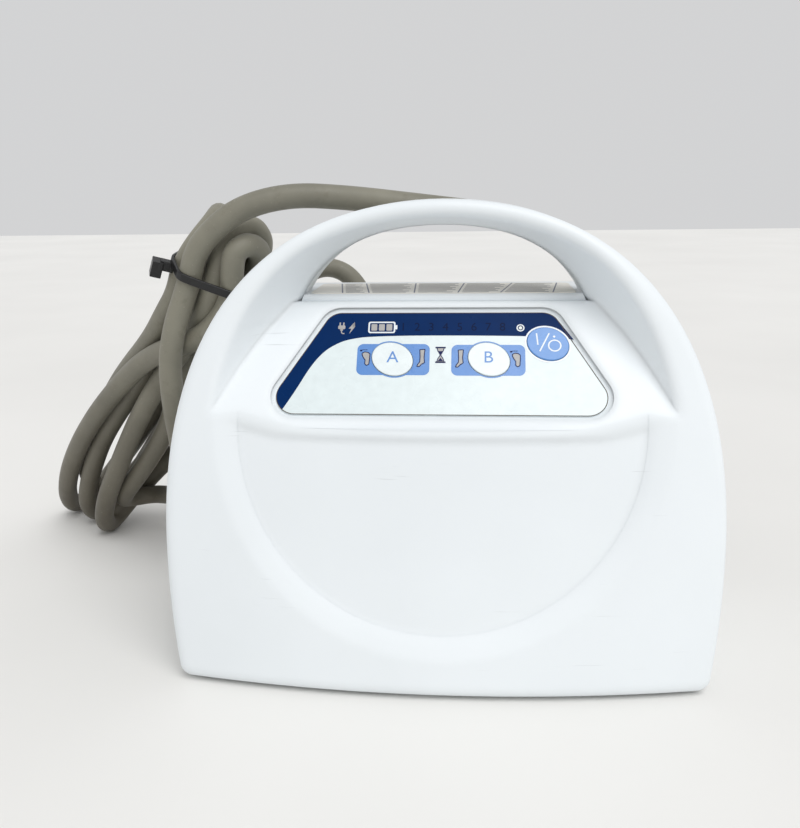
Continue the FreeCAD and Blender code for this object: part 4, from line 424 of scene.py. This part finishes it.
def oval(x, y, half_length, half_height, turn_degrees=0, count=56):
    """An oval round a place, turned anticlockwise."""
    cosine = math.cos(math.radians(turn_degrees))
    sine = math.sin(math.radians(turn_degrees))
    loop = []
    for i in range(count):
        angle = 2 * math.pi * i / count
        along = half_length * math.cos(angle)
        across = half_height * math.sin(angle)
        loop.append((x + along * cosine - across * sine, y + along * sine + across * cosine))
    return loop


def disc(x, y, radius, count):
    """A circle round a place."""
    return oval(x, y, radius, radius, count=count)


def rounded(left, bottom, right, top, radius, count=8):
    """A rectangle with round corners, each of count steps."""
    loop = []
    corners = (
        (right - radius, top - radius, 0), (left + radius, top - radius, 90),
        (left + radius, bottom + radius, 180), (right - radius, bottom + radius, 270),
    )
    for x, y, start in corners:
        for i in range(count + 1):
            angle = math.radians(start + 90 * i / count)
            loop.append((x + radius * math.cos(angle), y + radius * math.sin(angle)))
    return loop


def curve_value(a, b, c, d, t):
    """The Catmull-Rom curve from b to c, at share t of the way."""
    slope = c - a
    bend = 2 * a - 5 * b + 4 * c - d
    twist = 3 * b - a - 3 * c + d
    return 0.5 * (2 * b + slope * t + bend * t * t + twist * t ** 3)


def smooth_line(points, steps=6):
    """More points on a smooth curve through the given ones."""
    ends = [points[0]] + list(points) + [points[-1]]
    out = []
    for run in zip(ends, ends[1:], ends[2:], ends[3:]):
        for i in range(steps):
            out.append(tuple(curve_value(*values, i / steps) for values in zip(*run)))
    return out + [points[-1]]


def hull(points):
    """The convex outline round points, anticlockwise."""
    points = sorted(set((round(x, 4), round(y, 4)) for x, y in points))

    def turns_left(a, b, c):
        return (b[0] - a[0]) * (c[1] - a[1]) - (b[1] - a[1]) * (c[0] - a[0]) > 1e-6

    def half(sequence):
        chain = []
        for point in sequence:
            while len(chain) > 1 and not turns_left(chain[-2], chain[-1], point):
                chain.pop()
            chain.append(point)
        return chain[:-1]

    return half(points) + half(points[::-1])


def shrunk(loop, by):
    """A convex anticlockwise loop drawn in by an even margin."""
    inner = []
    for before, (x, y), after in zip(loop[-1:] + loop[:-1], loop, loop[1:] + loop[:1]):
        along = Vector((after[0] - before[0], after[1] - before[1])).normalized()
        inner.append((x - along.y * by, y + along.x * by))
    return inner


# ---------------------------------------------------------------- print on the panel

# the panel's tilted floor, in millimetres: x across, rise up the slope from its foot, proud out of it
TILT = math.radians(37)
FLOOR_FOOT = Vector((0, -0.0395, 0.0945))
RISE = Vector((0, math.sin(TILT), math.cos(TILT)))
PROUD = Vector((0, -math.cos(TILT), math.sin(TILT)))
OVERLAY_FACE = -0.70
KEY_FACE = -0.20
LIGHT_FACE = -0.50
EDGE_WIDTH = 0.28

# a key's hole in the print is given by half its length and half its height
KEY_TURN = -25
KEY_PLACES = ((-16.9, 26.4), (16.9, 26.4))
KEY_HOLE = (7.65, 6.4)
KEY_RIM = 0.45
POWER_PLACE = (37.4, 32.4)
POWER_HOLE = (7.6, 6.35)
POWER_RIM = 0.6
# left, bottom, right and top of the two blue fields
KEY_FIELDS = ((-29.45, 20.3, -3.8, 32.4), (3.8, 20.2, 29.5, 32.1))
FIELD_RADIUS = 2.2
LIGHT_PLACE = (28.0, 38.7)
LIGHT_RIM_RADIUS = 1.4
LIGHT_RADIUS = 1.0
LIGHT_DOT_RADIUS = 0.62

DIGITS = 8
DIGIT_SIZE = 4.5
DIGIT_STEP = 5.03
FIRST_DIGIT_X = -13.5
DIGIT_RISE = 39.05
LETTER_SIZE = 6.3
LIMB_LINE = 0.32
GLASS_LINE = 0.3
GLASS_END = 0.55
MARK_LINE = 0.5

# outlines as the photo shows them in the plane of the panel: the dark band's inner edge, a foot, a leg
NAVY_INNER = [
    (-53.96, 7.93), (-51.71, 11.91), (-49.32, 16.43), (-46.57, 21.86), (-43.72, 26.39), (-40.76, 29.74),
    (-37.7, 31.95), (-34.2, 33.64), (-29.85, 34.7), (-25.08, 35.24), (-13.13, 35.68), (2.71, 35.77),
    (18.42, 35.68), (29.34, 35.51), (37.87, 35.07), (46.33, 34.2),
]
FOOT = [
    (-27.7, 28.73), (-26.82, 29.26), (-25.63, 29.08), (-24.91, 28.46), (-24.95, 26.58), (-25.15, 24.42),
    (-25.94, 23.98), (-26.58, 24.6), (-26.5, 26.04), (-27.22, 27.11), (-27.62, 28.01),
]
LEG = [
    (-7.3, 30.16), (-5.5, 30.3), (-5.75, 27.2), (-5.55, 25.14), (-6.66, 24.43), (-7.3, 23.62),
    (-8.2, 23.6), (-7.94, 24.43), (-7.22, 25.41), (-7.14, 27.2),
]


def on_panel(x, rise, proud):
    """A point of the tilted floor: millimetres across, up the slope and out of it."""
    return FLOOR_FOOT + (Vector((1, 0, 0)) * x + RISE * rise + PROUD * proud) * MM


def layer(number):
    """How proud a layer of ink on the overlay stands."""
    return OVERLAY_FACE + number * INK


def panel_piece(name, outlines, proud, material, body="pump"):
    """Print on the panel; each outline is a loop of (x, rise) points."""
    loops = [[on_panel(x, rise, proud) for x, rise in outline] for outline in outlines]
    flat_piece(name, loops, PROUD, material, body)


def panel_letter(name, text, x, rise, size, proud, material, body):
    """A plain character laid on the panel."""
    curve = bpy.data.curves.new(name + "_outline", "FONT")
    curve.body = text
    curve.size = size * MM
    curve.align_x = "CENTER"
    curve.align_y = "CENTER"
    mesh = curve_mesh(name + "_outline", curve)
    for vertex in mesh.vertices:
        vertex.co = on_panel(x + vertex.co.x / MM, rise + vertex.co.y / MM, proud)
    add_print(name, mesh, material, body)


def overlay_loop():
    """The overlay's own outline in the plane of the panel, read from its CAD node."""
    node = frame["nodes"]["control_overlay"]
    points = []
    for vertex in node.data.vertices:
        offset = vertex.co - FLOOR_FOOT
        if offset.dot(PROUD) > (OVERLAY_FACE - 0.1) * MM:
            points.append((offset.x / MM, offset.dot(RISE) / MM))
    return hull(points)


def navy_shape(outline):
    """The dark band: the overlay's outline on the left and the top, the curved line within."""
    inner = smooth_line(NAVY_INNER)
    left = min(range(len(outline)), key=lambda i: math.dist(outline[i], inner[0]))
    right = min(range(len(outline)), key=lambda i: math.dist(outline[i], inner[-1]))
    # anticlockwise outline: from the right end over the top to the left end
    path = []
    i = right
    while i != left:
        path.append(outline[i])
        i = (i + 1) % len(outline)
    path.append(outline[left])
    return path + inner


def key_oval(place, half_sizes, margin=0.0):
    """A key's slanted oval, grown by margin."""
    half_length, half_height = half_sizes
    return oval(*place, half_length + margin, half_height + margin, KEY_TURN)


def panel_inks():
    """One material for each ink."""
    matt = dict(coat=0.0, specular=0.06)
    faint = dict(coat=0.0, specular=0.12)
    return {
        "navy": printed("ink_navy", srgb(0, 40, 90), 0.3, **matt),
        "blue": printed("ink_blue", srgb(84, 136, 204), 0.28),
        "pale": printed("ink_pale", srgb(226, 232, 236), 0.3),
        "grey": printed("ink_grey", srgb(168, 166, 164), 0.35),
        "dim": printed("ink_dim", srgb(6, 24, 60), 0.3, **matt),
        "line": printed("ink_line", srgb(24, 34, 84), 0.3, **faint),
        "white": printed("ink_white", srgb(238, 242, 244), 0.28),
        "edge": printed("ink_edge", srgb(84, 72, 62), 0.5, **faint),
    }


def print_band(ink):
    """The dark band across the top and the thin line round the whole overlay."""
    outline = overlay_loop()
    navy = cut_out(navy_shape(outline), key_oval(POWER_PLACE, POWER_HOLE))
    panel_piece("print_navy", navy, layer(1), ink["navy"])
    panel_piece("print_edge", ring(outline, shrunk(outline, EDGE_WIDTH)), layer(2), ink["edge"])


def print_key_surrounds(ink):
    """The blue fields with a rim round each key, and the power key's rim."""
    fields = []
    rims = []
    for place, field in zip(KEY_PLACES, KEY_FIELDS):
        hole = key_oval(place, KEY_HOLE)
        fields += cut_out(rounded(*field, FIELD_RADIUS), hole)
        rims += ring(key_oval(place, KEY_HOLE, KEY_RIM), hole)
    panel_piece("print_fields", fields, layer(1), ink["blue"])
    panel_piece("print_key_rims", rims, layer(2), ink["blue"])
    power = ring(key_oval(POWER_PLACE, POWER_HOLE, POWER_RIM), key_oval(POWER_PLACE, POWER_HOLE))
    panel_piece("print_power_rim", power, layer(2), ink["white"])


def print_battery_sign(ink):
    """A battery's rim with its nub, and three bars."""
    rim = ring(rounded(-26.0, 36.7, -16.3, 41.3, 0.8), rounded(-25.45, 37.25, -16.85, 40.75, 0.4))
    nub = [rounded(-16.3, 38.2, -15.6, 39.9, 0.2)]
    bars = [rounded(x, 37.7, x + 2.1, 40.3, 0.3) for x in (-24.9, -22.2, -19.5)]
    panel_piece("print_battery_line", rim + nub, layer(2), ink["pale"])
    panel_piece("print_battery_bars", bars, layer(2), ink["grey"])


def print_mains_sign(ink):
    """A plug with its cord, and a lightning bolt."""
    plug = [
        rounded(-36.9, 38.3, -34.3, 39.8, 0.5),
        rounded(-36.5, 39.7, -36.0, 41.0, 0.15),
        rounded(-35.2, 39.7, -34.7, 41.0, 0.15),
        rounded(-36.1, 37.6, -35.1, 38.5, 0.3),
    ]
    cable = stroke([(-35.6, 37.7), (-35.6, 36.9), (-35.1, 36.5), (-34.5, 36.6)], 0.4)
    bolt = [[(-31.0, 41.2), (-33.1, 38.5), (-32.1, 38.5), (-32.8, 36.4), (-30.8, 39.3), (-31.8, 39.3)]]
    panel_piece("print_mains_sign", plug + cable + bolt, layer(2), ink["grey"])


def toes(x, rise):
    """A large toe and three small ones in a row."""
    small = [oval(x + 0.66 * step, rise + 0.28, 0.27, 0.16, count=10) for step in (1, 2, 3)]
    return [oval(x, rise, 0.42, 0.34, count=12)] + small


def print_limbs(ink):
    """A foot and a leg in each key field."""
    limbs = [FOOT, shifted(FOOT, 52.7, -0.4), LEG, shifted(LEG, 13.5, -0.15)]
    panel_piece("print_limbs", limbs, layer(2), ink["grey"])
    lines = []
    for limb in limbs:
        lines += stroke(limb, LIMB_LINE, True)
    lines += toes(-28.1, 29.8) + toes(24.6, 29.4)
    panel_piece("print_limb_lines", lines, layer(3), ink["line"])


def print_glass(ink):
    """The hourglass between the key fields."""
    right = [(1.3, 30.9), (0.9, 29.6), (0.18, 28.4), (0.18, 27.9), (0.9, 26.7), (1.3, 25.4)]
    left = [(-x, rise) for x, rise in reversed(right)]
    # clockwise from the top left corner
    glass = left[-1:] + right + left[:-1]
    panel_piece("print_glass_fill", [glass], layer(2), ink["grey"])
    top = stroke([(-1.8, 31.0), (1.8, 31.0)], GLASS_END)
    foot = stroke([(-1.8, 25.3), (1.8, 25.3)], GLASS_END)
    sand = [[(-0.75, 29.6), (0.75, 29.6), (0, 28.3)], [(-1.0, 25.7), (1.0, 25.7), (0, 27.0)]]
    lines = stroke(glass, GLASS_LINE, True) + top + foot + sand
    panel_piece("print_glass_lines", lines, layer(3), ink["line"])


def print_digits(ink):
    """The unlit digits 1 to 8 along the dark band."""
    for step in range(DIGITS):
        digit = str(step + 1)
        x = FIRST_DIGIT_X + DIGIT_STEP * step
        panel_letter(
            "print_digit_" + digit, digit, x, DIGIT_RISE, DIGIT_SIZE, layer(2),
            ink["dim"], "pump",
        )


def print_light(ink):
    """The status light: a pale rim round a dark well."""
    outer, middle, inner = (
        disc(*LIGHT_PLACE, radius, 28) for radius in (LIGHT_RIM_RADIUS, LIGHT_RADIUS, LIGHT_DOT_RADIUS)
    )
    panel_piece("light_rim", ring(outer, middle), LIGHT_FACE + INK, ink["pale"])
    panel_piece("light_well", ring(middle, inner), LIGHT_FACE + INK, ink["line"])


def print_key_marks(ink):
    """A letter on each channel key; a bar, a slanted line, a circle and a dot on the power key."""
    proud = KEY_FACE + INK
    panel_letter("mark_a", "A", -16.8, 26.9, LETTER_SIZE, proud, ink["blue"], "button_a")
    panel_letter("mark_b", "B", 16.7, 26.9, LETTER_SIZE, proud, ink["blue"], "button_b")
    circle = ring(disc(39.7, 31.6, 2.35, 40), disc(39.7, 31.6, 2.35 - MARK_LINE, 40))
    bar = stroke([(33.5, 36.4), (33.9, 31.9)], MARK_LINE)
    slant = stroke([(37.9, 36.4), (34.5, 29.4)], MARK_LINE)
    dot = [disc(39.6, 35.1, 0.42, 16)]
    panel_piece("mark_power", circle + bar + slant + dot, proud, ink["pale"], "button_power")


def panel_print():
    """All print on the overlay and on the keys."""
    ink = panel_inks()
    print_band(ink)
    print_key_surrounds(ink)
    print_battery_sign(ink)
    print_mains_sign(ink)
    print_limbs(ink)
    print_glass(ink)
    print_digits(ink)
    print_light(ink)
    print_key_marks(ink)


# ---------------------------------------------------------------- print on the label

# in millimetres; each rule runs from the label's front to its back, leaning outward
LABEL_TOP = 136.3
PRINT_FRONT = -4.9
PRINT_BACK = 25.4
RULE_FRONTS = (-36.5, -26.7, -10.1, 5.8, 21.2, 40.0)
RULE_BACKS = (-41.0, -31.2, -11.3, 7.9, 26.7, 44.2)
RULE_WIDTH = 0.5
BAR_ROWS = 9
BAR_HALF_WIDTH = 0.7
BAR_MARGIN = 1.3
BAR_CUTS = (0.3, 1.8, 0.8, 3.2)


def label_piece(name, outlines, material):
    """Print on the level label; each outline is a loop of (x, y) points."""
    loops = [[Vector((x, y, LABEL_TOP + INK)) * MM for x, y in outline] for outline in outlines]
    flat_piece(name, loops, Vector((0, 0, 1)), material, "pump")


def label_bar(cell, row):
    """One bar between two rules, its right end cut short by a length that varies."""
    share = (row + 0.5) / BAR_ROWS
    y = between(PRINT_FRONT, PRINT_BACK, share)
    left = between(RULE_FRONTS[cell], RULE_BACKS[cell], share) + BAR_MARGIN
    right = between(RULE_FRONTS[cell + 1], RULE_BACKS[cell + 1], share) - BAR_MARGIN
    right -= BAR_CUTS[(row + cell) % len(BAR_CUTS)]
    low = y - BAR_HALF_WIDTH
    high = y + BAR_HALF_WIDTH
    return [(left, low), (right, low), (right, high), (left, high)]


def label_print():
    """Slanted cell lines and rows of plain grey bars, with no readable words."""
    line = printed("label_line", srgb(88, 96, 116), 0.4, coat=0.0, specular=0.2)
    grey = printed("label_grey", srgb(128, 128, 130), 0.4, coat=0.0, specular=0.2)
    rules = []
    for front, back in zip(RULE_FRONTS, RULE_BACKS):
        rules += stroke([(front, PRINT_FRONT), (back, PRINT_BACK)], RULE_WIDTH)
    label_piece("label_lines", rules, line)
    cells = range(len(RULE_FRONTS) - 1)
    label_piece("label_bars", [label_bar(cell, row) for cell in cells for row in range(BAR_ROWS)], grey)


# ---------------------------------------------------------------- mains cord

CORD_RADIUS = 0.0047
# from the connector, behind the case and over the back of the handle
CORD_LEAD = [
    (24, 55, 90), (24, 55, 102), (24, 61.5, 114), (24.3, 75, 122), (27, 96, 123), (42, 112.5, 121.5),
    (64, 113.5, 121.5), (80, 98, 122.5), (80.5, 77, 126), (76, 57, 133), (64, 39, 143.5), (44, 30, 154.5),
    (20, 27.5, 162.6), (-8, 25.5, 166.2), (-38, 22, 170), (-60, 18.5, 171.3), (-79, 15, 166.5),
]
# the hank: each row is one strand or one fold, from the front of the bundle to its back
CORD_HANK = [
    # down in front, round the short loop and up again
    (-91.5, 13.6, 156.5), (-97.5, 15.5, 149), (-100.5, 17.5, 141), (-104, 18, 132), (-108.5, 17.5, 121),
    (-112, 17.5, 107), (-113.5, 21, 88), (-115.5, 33, 62), (-121, 51, 41), (-131, 71, 27.5),
    (-145, 90, 20.5), (-155, 95, 19), (-164, 91, 18.5), (-167, 83, 21), (-161, 76, 28), (-148, 69.5, 43),
    (-132.5, 60.5, 63), (-123.5, 55, 82), (-115.5, 49.5, 100), (-109, 44, 119), (-105.5, 39, 134),
    (-105, 38, 144),
    # fold behind the lead
    (-101.5, 41.5, 153), (-95.5, 42, 161.5), (-91.5, 34.5, 164.5), (-92.5, 26.5, 160.5),
    (-99.5, 24.5, 152.5), (-106.5, 26.5, 143.5),
    # down on the left, round the middle loop and up again
    (-110, 28, 133), (-117, 31, 123.5), (-128, 41.5, 110.5), (-147, 57, 93.5), (-163, 73, 77),
    (-177, 87, 58.5), (-188.5, 96, 41.5), (-193.5, 102, 29), (-190.5, 104, 19.5), (-181, 101, 17.5),
    (-170, 95, 24.5), (-156.5, 87, 37.5), (-141, 77, 55), (-123.5, 65.5, 74), (-106.5, 52.5, 94),
    (-92, 40.5, 113), (-83, 34.5, 127),
    # small fold beside the handle
    (-81.5, 33.5, 136), (-76, 31.5, 142.5), (-74, 26.5, 149.5), (-77, 20, 153), (-82, 16.5, 150),
    (-83.5, 17, 142.5),
    # down in the middle, round the longest loop and up again
    (-85, 20, 132), (-90.5, 22, 123), (-100, 23, 114.5), (-114, 28, 110), (-129.5, 38, 103),
    (-146.5, 50.5, 90), (-166.5, 63, 71), (-184, 77, 51), (-197.5, 90, 31.5), (-206, 102.5, 15),
    (-208.5, 113.5, 5), (-205, 122, 5), (-196.5, 125, 12.5), (-184.5, 119.5, 26), (-169, 108, 42.5),
    (-152.5, 94, 61), (-135.5, 79, 81), (-119, 64.5, 100.5), (-105, 51.5, 118.5), (-97.5, 43.5, 133),
    (-97, 43, 143),
    # fold at the back
    (-95, 49, 150), (-89, 52, 156), (-83.5, 46, 157.5), (-84, 38, 155), (-90, 33, 149.5), (-95, 32, 142),
    # down at the back, round the low loop and up again
    (-99, 31.5, 133), (-110, 33, 124), (-122, 42, 112), (-133.5, 52.5, 98.5), (-146, 61.5, 84),
    (-159, 69.5, 69.5), (-170.5, 77, 55.5), (-179.5, 83.5, 41), (-187, 88.5, 25), (-191, 94, 12.5),
    (-190.5, 102, 5), (-186, 109, 5), (-178, 112, 13), (-168.5, 108, 26), (-155.5, 99.5, 42.5),
    (-140.5, 87.5, 60.5), (-124.5, 74, 79.5), (-108.5, 60.5, 98.5), (-95.5, 49, 116.5), (-88, 42, 130),
    # large fold beside the handle
    (-85.5, 41, 137.5), (-80, 41, 144), (-75.5, 38.5, 151), (-76.5, 33.5, 157.5), (-80.5, 29, 159.5),
    (-84.5, 25.5, 155.5), (-89, 23.5, 148), (-91.5, 23, 140),
    # last strand down, and out at the bottom
    (-94.5, 23.5, 132), (-98.5, 25.5, 125.5), (-102.5, 30.5, 119.5), (-109.5, 36.5, 111.5),
    (-120.5, 42, 99.5), (-131, 48, 87), (-141, 54, 73.5), (-150.5, 60.5, 59), (-160, 66, 43),
    (-169.5, 71.5, 26.5), (-175.5, 78, 13), (-178, 86, 5), (-177, 94, 5), (-172, 100, 11.5),
]
# up behind the hank, over a hump and down behind the case to the plug
CORD_TAIL = [
    (-162.7, 101.1, 21.7), (-150.4, 99.1, 33.9), (-136.9, 97, 46.2), (-123.1, 96.5, 57.9),
    (-109.1, 97.7, 69.3), (-97, 101, 83), (-87, 106, 101), (-81, 111, 120), (-73, 114.5, 131.8),
    (-61, 118, 135.3), (-49.5, 120, 129.5), (-41.5, 119.5, 114), (-29, 115, 92), (-19, 108, 71),
    (-9, 102, 50), (-1, 99.5, 28), (-10, 102, 11), (-30, 107.5, 7), (-49, 114, 11), (-66, 116, 13.5),
]


def add_cord(material):
    """The whole mains cord as one smooth line from its connector to its plug."""
    curve = bpy.data.curves.new("mains_cord", "CURVE")
    curve.dimensions = "3D"
    points = [Vector(point) * MM for point in CORD_LEAD + CORD_HANK + CORD_TAIL]
    spline = curve.splines.new("NURBS")
    spline.points.add(len(points) - 1)
    for target, point in zip(spline.points, points):
        target.co = (*point, 1.0)
    spline.order_u = 3
    spline.use_endpoint_u = True
    spline.resolution_u = 8
    curve.bevel_depth = CORD_RADIUS
    curve.bevel_resolution = 6
    curve.use_fill_caps = True
    curve.materials.append(material)
    piece = add_object("mains_cord", curve)
    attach(piece, "pump")
    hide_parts("power_cord_lead", "cord_hank", "power_cord_tail")
    return piece


def centreline(piece):
    """Points along the cord's own line."""
    bare = piece.data.copy()
    bare.bevel_depth = 0
    mesh = curve_mesh("bare_line", bare)
    return [vertex.co.copy() for vertex in mesh.vertices]


# ---------------------------------------------------------------- cable tie

# the tie's plane is set by its centre and axis; lengths are in metres; a strand counts as one that
# runs through the plane if it does so within the reach and no flatter than the least slope
TIE_CENTRE = Vector((-94.4, 30.3, 141.2)) * MM
TIE_AXIS = Vector((0.38, -0.2, 0.9)).normalized()
TIE_ACROSS = TIE_AXIS.cross(Vector((0, 1, 0))).normalized()
TIE_DEEP = TIE_AXIS.cross(TIE_ACROSS).normalized()
TIE_WIDTH = 0.0036
TIE_THICKNESS = 0.0013
TIE_EDGE = 0.0002
TIE_BEVEL = 0.0003
TIE_REACH = 0.035
TIE_STEPS = 120
STRAND_STEPS = 24
LEAST_SLOPE = 0.35

# the head stands on its neck at this side of the loop; sizes are outward, round the loop, along the axis
HEAD_SIDE = Vector((0.88, 0.47))
HEAD_RISE = 0.0060
HEAD_DROP = 0.0042
HEAD_SIZE = (0.0044, 0.0058, 0.0068)
NECK_RISE = 0.0024
NECK_DROP = 0.0024
NECK_SIZE = (0.0056, 0.0036, 0.0042)

BLOCK_CORNERS = [(x, y, z) for z in (-1, 1) for x, y in SQUARE]
BLOCK_FACES = ((0, 3, 2, 1), (4, 5, 6, 7), (0, 1, 5, 4), (1, 2, 6, 5), (2, 3, 7, 6), (3, 0, 4, 7))


def at_tie(x, y, along=0.0):
    """A point in the tie's plane, or beside it along its axis."""
    return TIE_CENTRE + TIE_ACROSS * x + TIE_DEEP * y + TIE_AXIS * along


def strand_dots(line):
    """The outlines of the strands where they run through the tie's plane near its centre."""
    dots = []
    for start, end in zip(line, line[1:]):
        before = (start - TIE_CENTRE).dot(TIE_AXIS)
        after = (end - TIE_CENTRE).dot(TIE_AXIS)
        if before * after > 0 or (start - TIE_CENTRE).length > TIE_REACH:
            continue
        if abs((end - start).normalized().dot(TIE_AXIS)) < LEAST_SLOPE:
            continue
        hit = start.lerp(end, before / (before - after)) - TIE_CENTRE
        dots += disc(hit.dot(TIE_ACROSS), hit.dot(TIE_DEEP), CORD_RADIUS, STRAND_STEPS)
    return dots


def even_loop(loop, count):
    """Points at even steps round a closed loop."""
    sides = list(zip(loop, loop[1:] + loop[:1]))
    total = sum(math.dist(a, b) for a, b in sides)
    even = []
    for i in range(count):
        want = total * i / count
        for a, b in sides:
            length = math.dist(a, b)
            if want <= length:
                share = want / length if length else 0
                even.append((between(a[0], b[0], share), between(a[1], b[1], share)))
                break
            want -= length
    return even


def add_strap(build, loop, middle):
    """The flat strap round the loop, its edges drawn in a little on the outside."""
    half = TIE_WIDTH / 2
    profile = (
        (TIE_EDGE, -half), (TIE_THICKNESS, -half + TIE_EDGE),
        (TIE_THICKNESS, half - TIE_EDGE), (TIE_EDGE, half),
    )
    rows = []
    for x, y in loop:
        out = Vector((x - middle[0], y - middle[1])).normalized()
        rows.append([build.verts.new(at_tie(x + out.x * d, y + out.y * d, h)) for d, h in profile])
    for a, b in zip(rows, rows[1:] + rows[:1]):
        for i in range(4):
            build.faces.new((a[i], b[i], b[(i + 1) % 4], a[(i + 1) % 4]))


def add_block(build, centre, axes, sizes):
    """A box of these sizes along three directions."""
    corners = []
    for signs in BLOCK_CORNERS:
        offset = sum((axis * size * sign / 2 for axis, size, sign in zip(axes, sizes, signs)), Vector())
        corners.append(build.verts.new(centre + offset))
    for face in BLOCK_FACES:
        build.faces.new([corners[i] for i in face])


def add_head(build, loop, middle):
    """The head on its neck, standing out from the strap at its left front."""
    spot = Vector(max(loop, key=lambda point: Vector(point).dot(HEAD_SIDE)))
    out = (spot - Vector(middle)).normalized()
    outward = TIE_ACROSS * out.x + TIE_DEEP * out.y
    axes = (outward, TIE_AXIS.cross(outward), TIE_AXIS)
    base = at_tie(spot.x, spot.y)
    add_block(build, base + outward * NECK_RISE - TIE_AXIS * NECK_DROP, axes, NECK_SIZE)
    add_block(build, base + outward * HEAD_RISE - TIE_AXIS * HEAD_DROP, axes, HEAD_SIZE)


def add_tie(line, material):
    """A black cable tie drawn tight round the strands, with its head."""
    loop = even_loop(hull(strand_dots(line)), TIE_STEPS)
    middle = (sum(x for x, _ in loop) / TIE_STEPS, sum(y for _, y in loop) / TIE_STEPS)
    mesh = bpy.data.meshes.new("cable_tie")
    build = bmesh.new()
    add_strap(build, loop, middle)
    add_head(build, loop, middle)
    bmesh.ops.recalc_face_normals(build, faces=build.faces[:])
    build.to_mesh(mesh)
    build.free()
    mesh.materials.append(material)
    piece = add_object("cable_tie", mesh)
    bevel = piece.modifiers.new("edge", "BEVEL")
    bevel.width = TIE_BEVEL
    bevel.segments = 2
    bevel.limit_method = "ANGLE"
    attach(piece, "pump")
    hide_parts("cord_tie")
    return piece


# ---------------------------------------------------------------- floor and light

FLOOR_HALF = 3
SKY_COLOUR = (0.985, 0.99, 1.0, 1.0)
SKY_STRENGTH = 0.66
SUN_STRENGTH = 1.5
SUN_WIDTH = math.radians(40)
SUN_DIRECTION = Vector((-0.35, 0.55, -1.0))


def add_floor():
    """A plain pale floor."""
    mesh = bpy.data.meshes.new("floor")
    mesh.from_pydata([(x * FLOOR_HALF, y * FLOOR_HALF, 0) for x, y in SQUARE], [], [(0, 1, 2, 3)])
    n = Nodes("floor_plain")
    tone = n.mix(n.band(n.noise(3, 3), 0.3, 0.7), srgb(228, 227, 224), srgb(234, 233, 230))
    mesh.materials.append(n.finish(tone, 0.7))
    floor = add_object("floor", mesh)


def add_light():
    """A soft sky and one broad soft sun."""
    world = bpy.data.worlds.new("sky")
    world.use_nodes = True
    background = world.node_tree.nodes["Background"]
    background.inputs["Color"].default_value = SKY_COLOUR
    background.inputs["Strength"].default_value = SKY_STRENGTH
    scene.world = world
    sun = bpy.data.lights.new("soft_sun", "SUN")
    sun.energy = SUN_STRENGTH
    sun.angle = SUN_WIDTH
    lamp = add_object("soft_sun", sun)
    lamp.rotation_euler = SUN_DIRECTION.to_track_quat("-Z", "Y").to_euler()


# ---------------------------------------------------------------- build

add_camera()
materials = make_materials()
dress_nodes(materials)
cord = add_cord(materials["cord"])
tie = add_tie(centreline(cord), materials["black_plastic"])
panel_print()
label_print()
add_floor()
add_light()
scene.view_settings.view_transform = "Standard"
